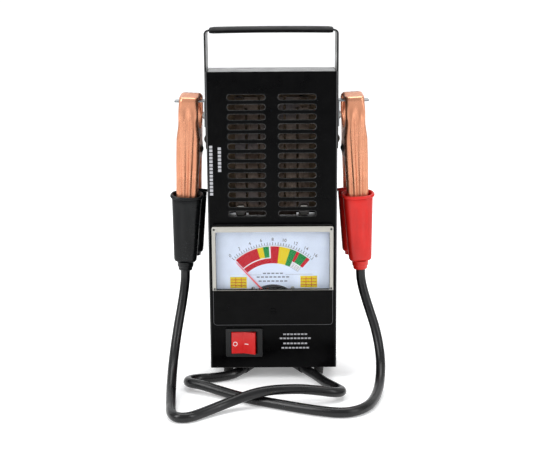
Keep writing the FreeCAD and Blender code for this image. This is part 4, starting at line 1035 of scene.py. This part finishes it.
def make_window():
    """Clear pane in a milky moulded frame above, a black frame with a fine grey line round the cover below; the
    line is a painted highlight standing for the light in the cover's clear rim.
    """
    low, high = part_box("meter_window")
    x1 = (high.x - low.x) / 2 / MM
    z0, z1 = (low.z - PANEL[0].z) / MM, (high.z - PANEL[0].z) / MM
    y0, y1 = (low.y - PANEL[0].y) / MM, (high.y - PANEL[0].y) / MM
    split = (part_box("meter_lower_cover")[1].z - PANEL[0].z) / MM

    def outline(inset, bottom, top, low_radius, high_radius, steps=6):
        return rounded_outline(inset - x1, x1 - inset, bottom, top,
                               (low_radius, low_radius, high_radius, high_radius), steps)

    outer = outline(0, split + 0.05, z1, 0.1, 1.6)
    upper = ring_plate(outer, outline(2.9, split + 0.2, z1 - 4.4, 0.1, 1.2), y0, y0 + 1.4, 0.4)
    walls = ring_plate(outer, outline(1.5, split + 0.2, z1 - 1.5, 0.1, 0.8), y0 + 1.4, y1)
    lower = ring_plate(outline(0, z0, split, 3, 0.1), outline(2.3, z0 + 2.2, split - 0.5, 1.5, 0.1), y0, y1, 0.3)
    pane = slab(outline(3.0, split + 0.2, z1 - 4.5, 0.4, 0.4, 3), y0 + 0.3, y0 + 1.9)
    for name, shape, material in (("rim", upper, rim_clear), ("walls", walls, meter_black),
                                  ("lower_frame", lower, meter_black), ("pane", pane, window_clear)):
        part = piece("meter_window_" + name, mesh_of(name, *shape), material)
        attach(part, "root")
        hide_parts("meter_window")
    posts = [slab(disc(x * (x1 - 1.75), z, 0.95, 16), y0 - 0.03, y0 + 0.6)
             for x in (-1, 1) for z in (split + 1.6, z1 - 2.3)]
    post = piece("meter_window_posts", mesh_of("posts", *together(posts)), housing_black)
    # Painted highlight: a grey line round the lower cover stands for the light caught in the clear rim's edge.
    edge, width = 0.3, 0.35
    line = ring_plate(outline(edge, z0 + edge, split - 0.1, 2.8, 0.1),
                      outline(edge + width, z0 + edge + width, split - 0.2, 2.4, 0.05), y0 - PRINT, y0 + 0.02)
    line = piece("meter_cover_rim_highlight", mesh_of("cover_rim_highlight", *line), INKS["outline"])
    for part in (post, line):
        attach(part, "root")


# ---- case front: switch marks, print and slot rims --------------------------------------------------------------
def make_switch_marks():
    """Off ring and on bar printed on the two faces of the dished key."""
    hinge = Vector(JOINTS["rocker_press"]["pos_m"])
    tilt, fall, middle = math.radians(-9.0), math.atan2(2.2, 10.2), -3.0
    ring = ring_plate(disc(0, 0, 1.9), disc(0, 0, 1.45), -PRINT, 0.01)
    bar = slab(rectangle(-1.7, 1.7, -0.28, 0.28), -PRINT, 0.01)
    for name, x, shape in (("ring", -6.9, ring), ("bar", 2.6, bar)):
        place = (Matrix.Translation(hinge) @ TO_METRES @ Matrix.Rotation(tilt, 4, "Z")
                 @ Matrix.Translation((x, middle - abs(x) * math.tan(fall), -0.9))
                 @ Matrix.Rotation(-math.copysign(fall, x), 4, "Z"))
        mark = piece("rocker_" + name, mesh_of(name, *shape, place), INKS["white"])
        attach(mark, "rocker")


def make_case_print():
    """Short dashes where a panel would carry its legends."""
    dashes = []
    middle, step, width, tall = 18.9, 3.0, 2.2, 1.3
    for z, count in ((29.4, 7), (25.8, 9), (21.3, 7), (17.4, 8)):
        start = middle - step * count / 2
        dashes += [rectangle(start + step * i, start + step * i + width, z - tall / 2, z + tall / 2)
                   for i in range(count)]
    for x, low, count in ((-50.0, 149.0, 14), (-43.0, 168.6, 7)):
        dashes += [rectangle(x - tall, x + tall, low + step * i, low + step * i + width) for i in range(count)]
    printed("case_print", dashes, "pale", front=0.0)


def rims_tree():
    """Rolled rims of round-ended slots set out in rows and columns, in the x-z plane."""
    tree, names, given = shape_tree("slot_rims", ("Columns", "Rows"), ("Across", "Height", "Slot Length",
                                                                       "Slot Width", "Roll"))
    spots = add(tree, "GeometryNodeMeshGrid", {"Size X": given["Across"], "Size Y": given["Height"],
                                               "Vertices X": given["Columns"], "Vertices Y": given["Rows"]})
    outline = add(tree, "GeometryNodeCurvePrimitiveQuadrilateral", {"Width": given["Slot Length"],
                                                                    "Height": given["Slot Width"]})
    ends = add(tree, "GeometryNodeFilletCurve", {"Curve": outline.outputs[0], "Count": 8,
                                                 "Radius": times(tree, given["Slot Width"], 0.499)},
               mode="POLY")
    section = add(tree, "GeometryNodeCurvePrimitiveCircle", {"Resolution": 10, "Radius": given["Roll"]})
    rim = add(tree, "GeometryNodeCurveToMesh", {"Curve": ends.outputs[0], "Profile Curve": section.outputs[0]})
    set_out = add(tree, "GeometryNodeInstanceOnPoints", {"Points": spots.outputs[0], "Instance": rim.outputs[0]})
    upright = add(tree, "GeometryNodeTransform", {"Geometry": set_out.outputs[0],
                                                  "Rotation": (math.pi / 2, 0, 0)})
    end_tree(tree, given, upright.outputs[0])
    return tree, names


def make_slot_rims():
    rows, pitch, lowest, across = 13, 8.0, 133.4, 41.4
    sizes = {"Columns": 2, "Rows": rows, "Across": across, "Height": pitch * (rows - 1), "Slot Length": 31.3,
             "Slot Width": 4.9, "Roll": 0.32, "Material": slot_edge}
    mesh = shaped_by("rims", rims_tree(), sizes)
    mesh.transform(PANEL_FRAME @ Matrix.Translation((0, 0.1, lowest + pitch * (rows - 1) / 2)))
    rims = piece("front_slot_rims", mesh, slot_edge)
    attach(rims, "root")


# ---- finish -----------------------------------------------------------------------------------------------------
set_camera()
set_studio()
finish_carried_over()
make_lead("red_clamp_lead_flex", "red_clamp_lead", RED_LEAD)
make_lead("black_clamp_lead_flex", "black_clamp_lead", BLACK_LEAD)
make_clamps()
make_grip()
make_dial_print()
make_window()
make_switch_marks()
make_case_print()
make_slot_rims()
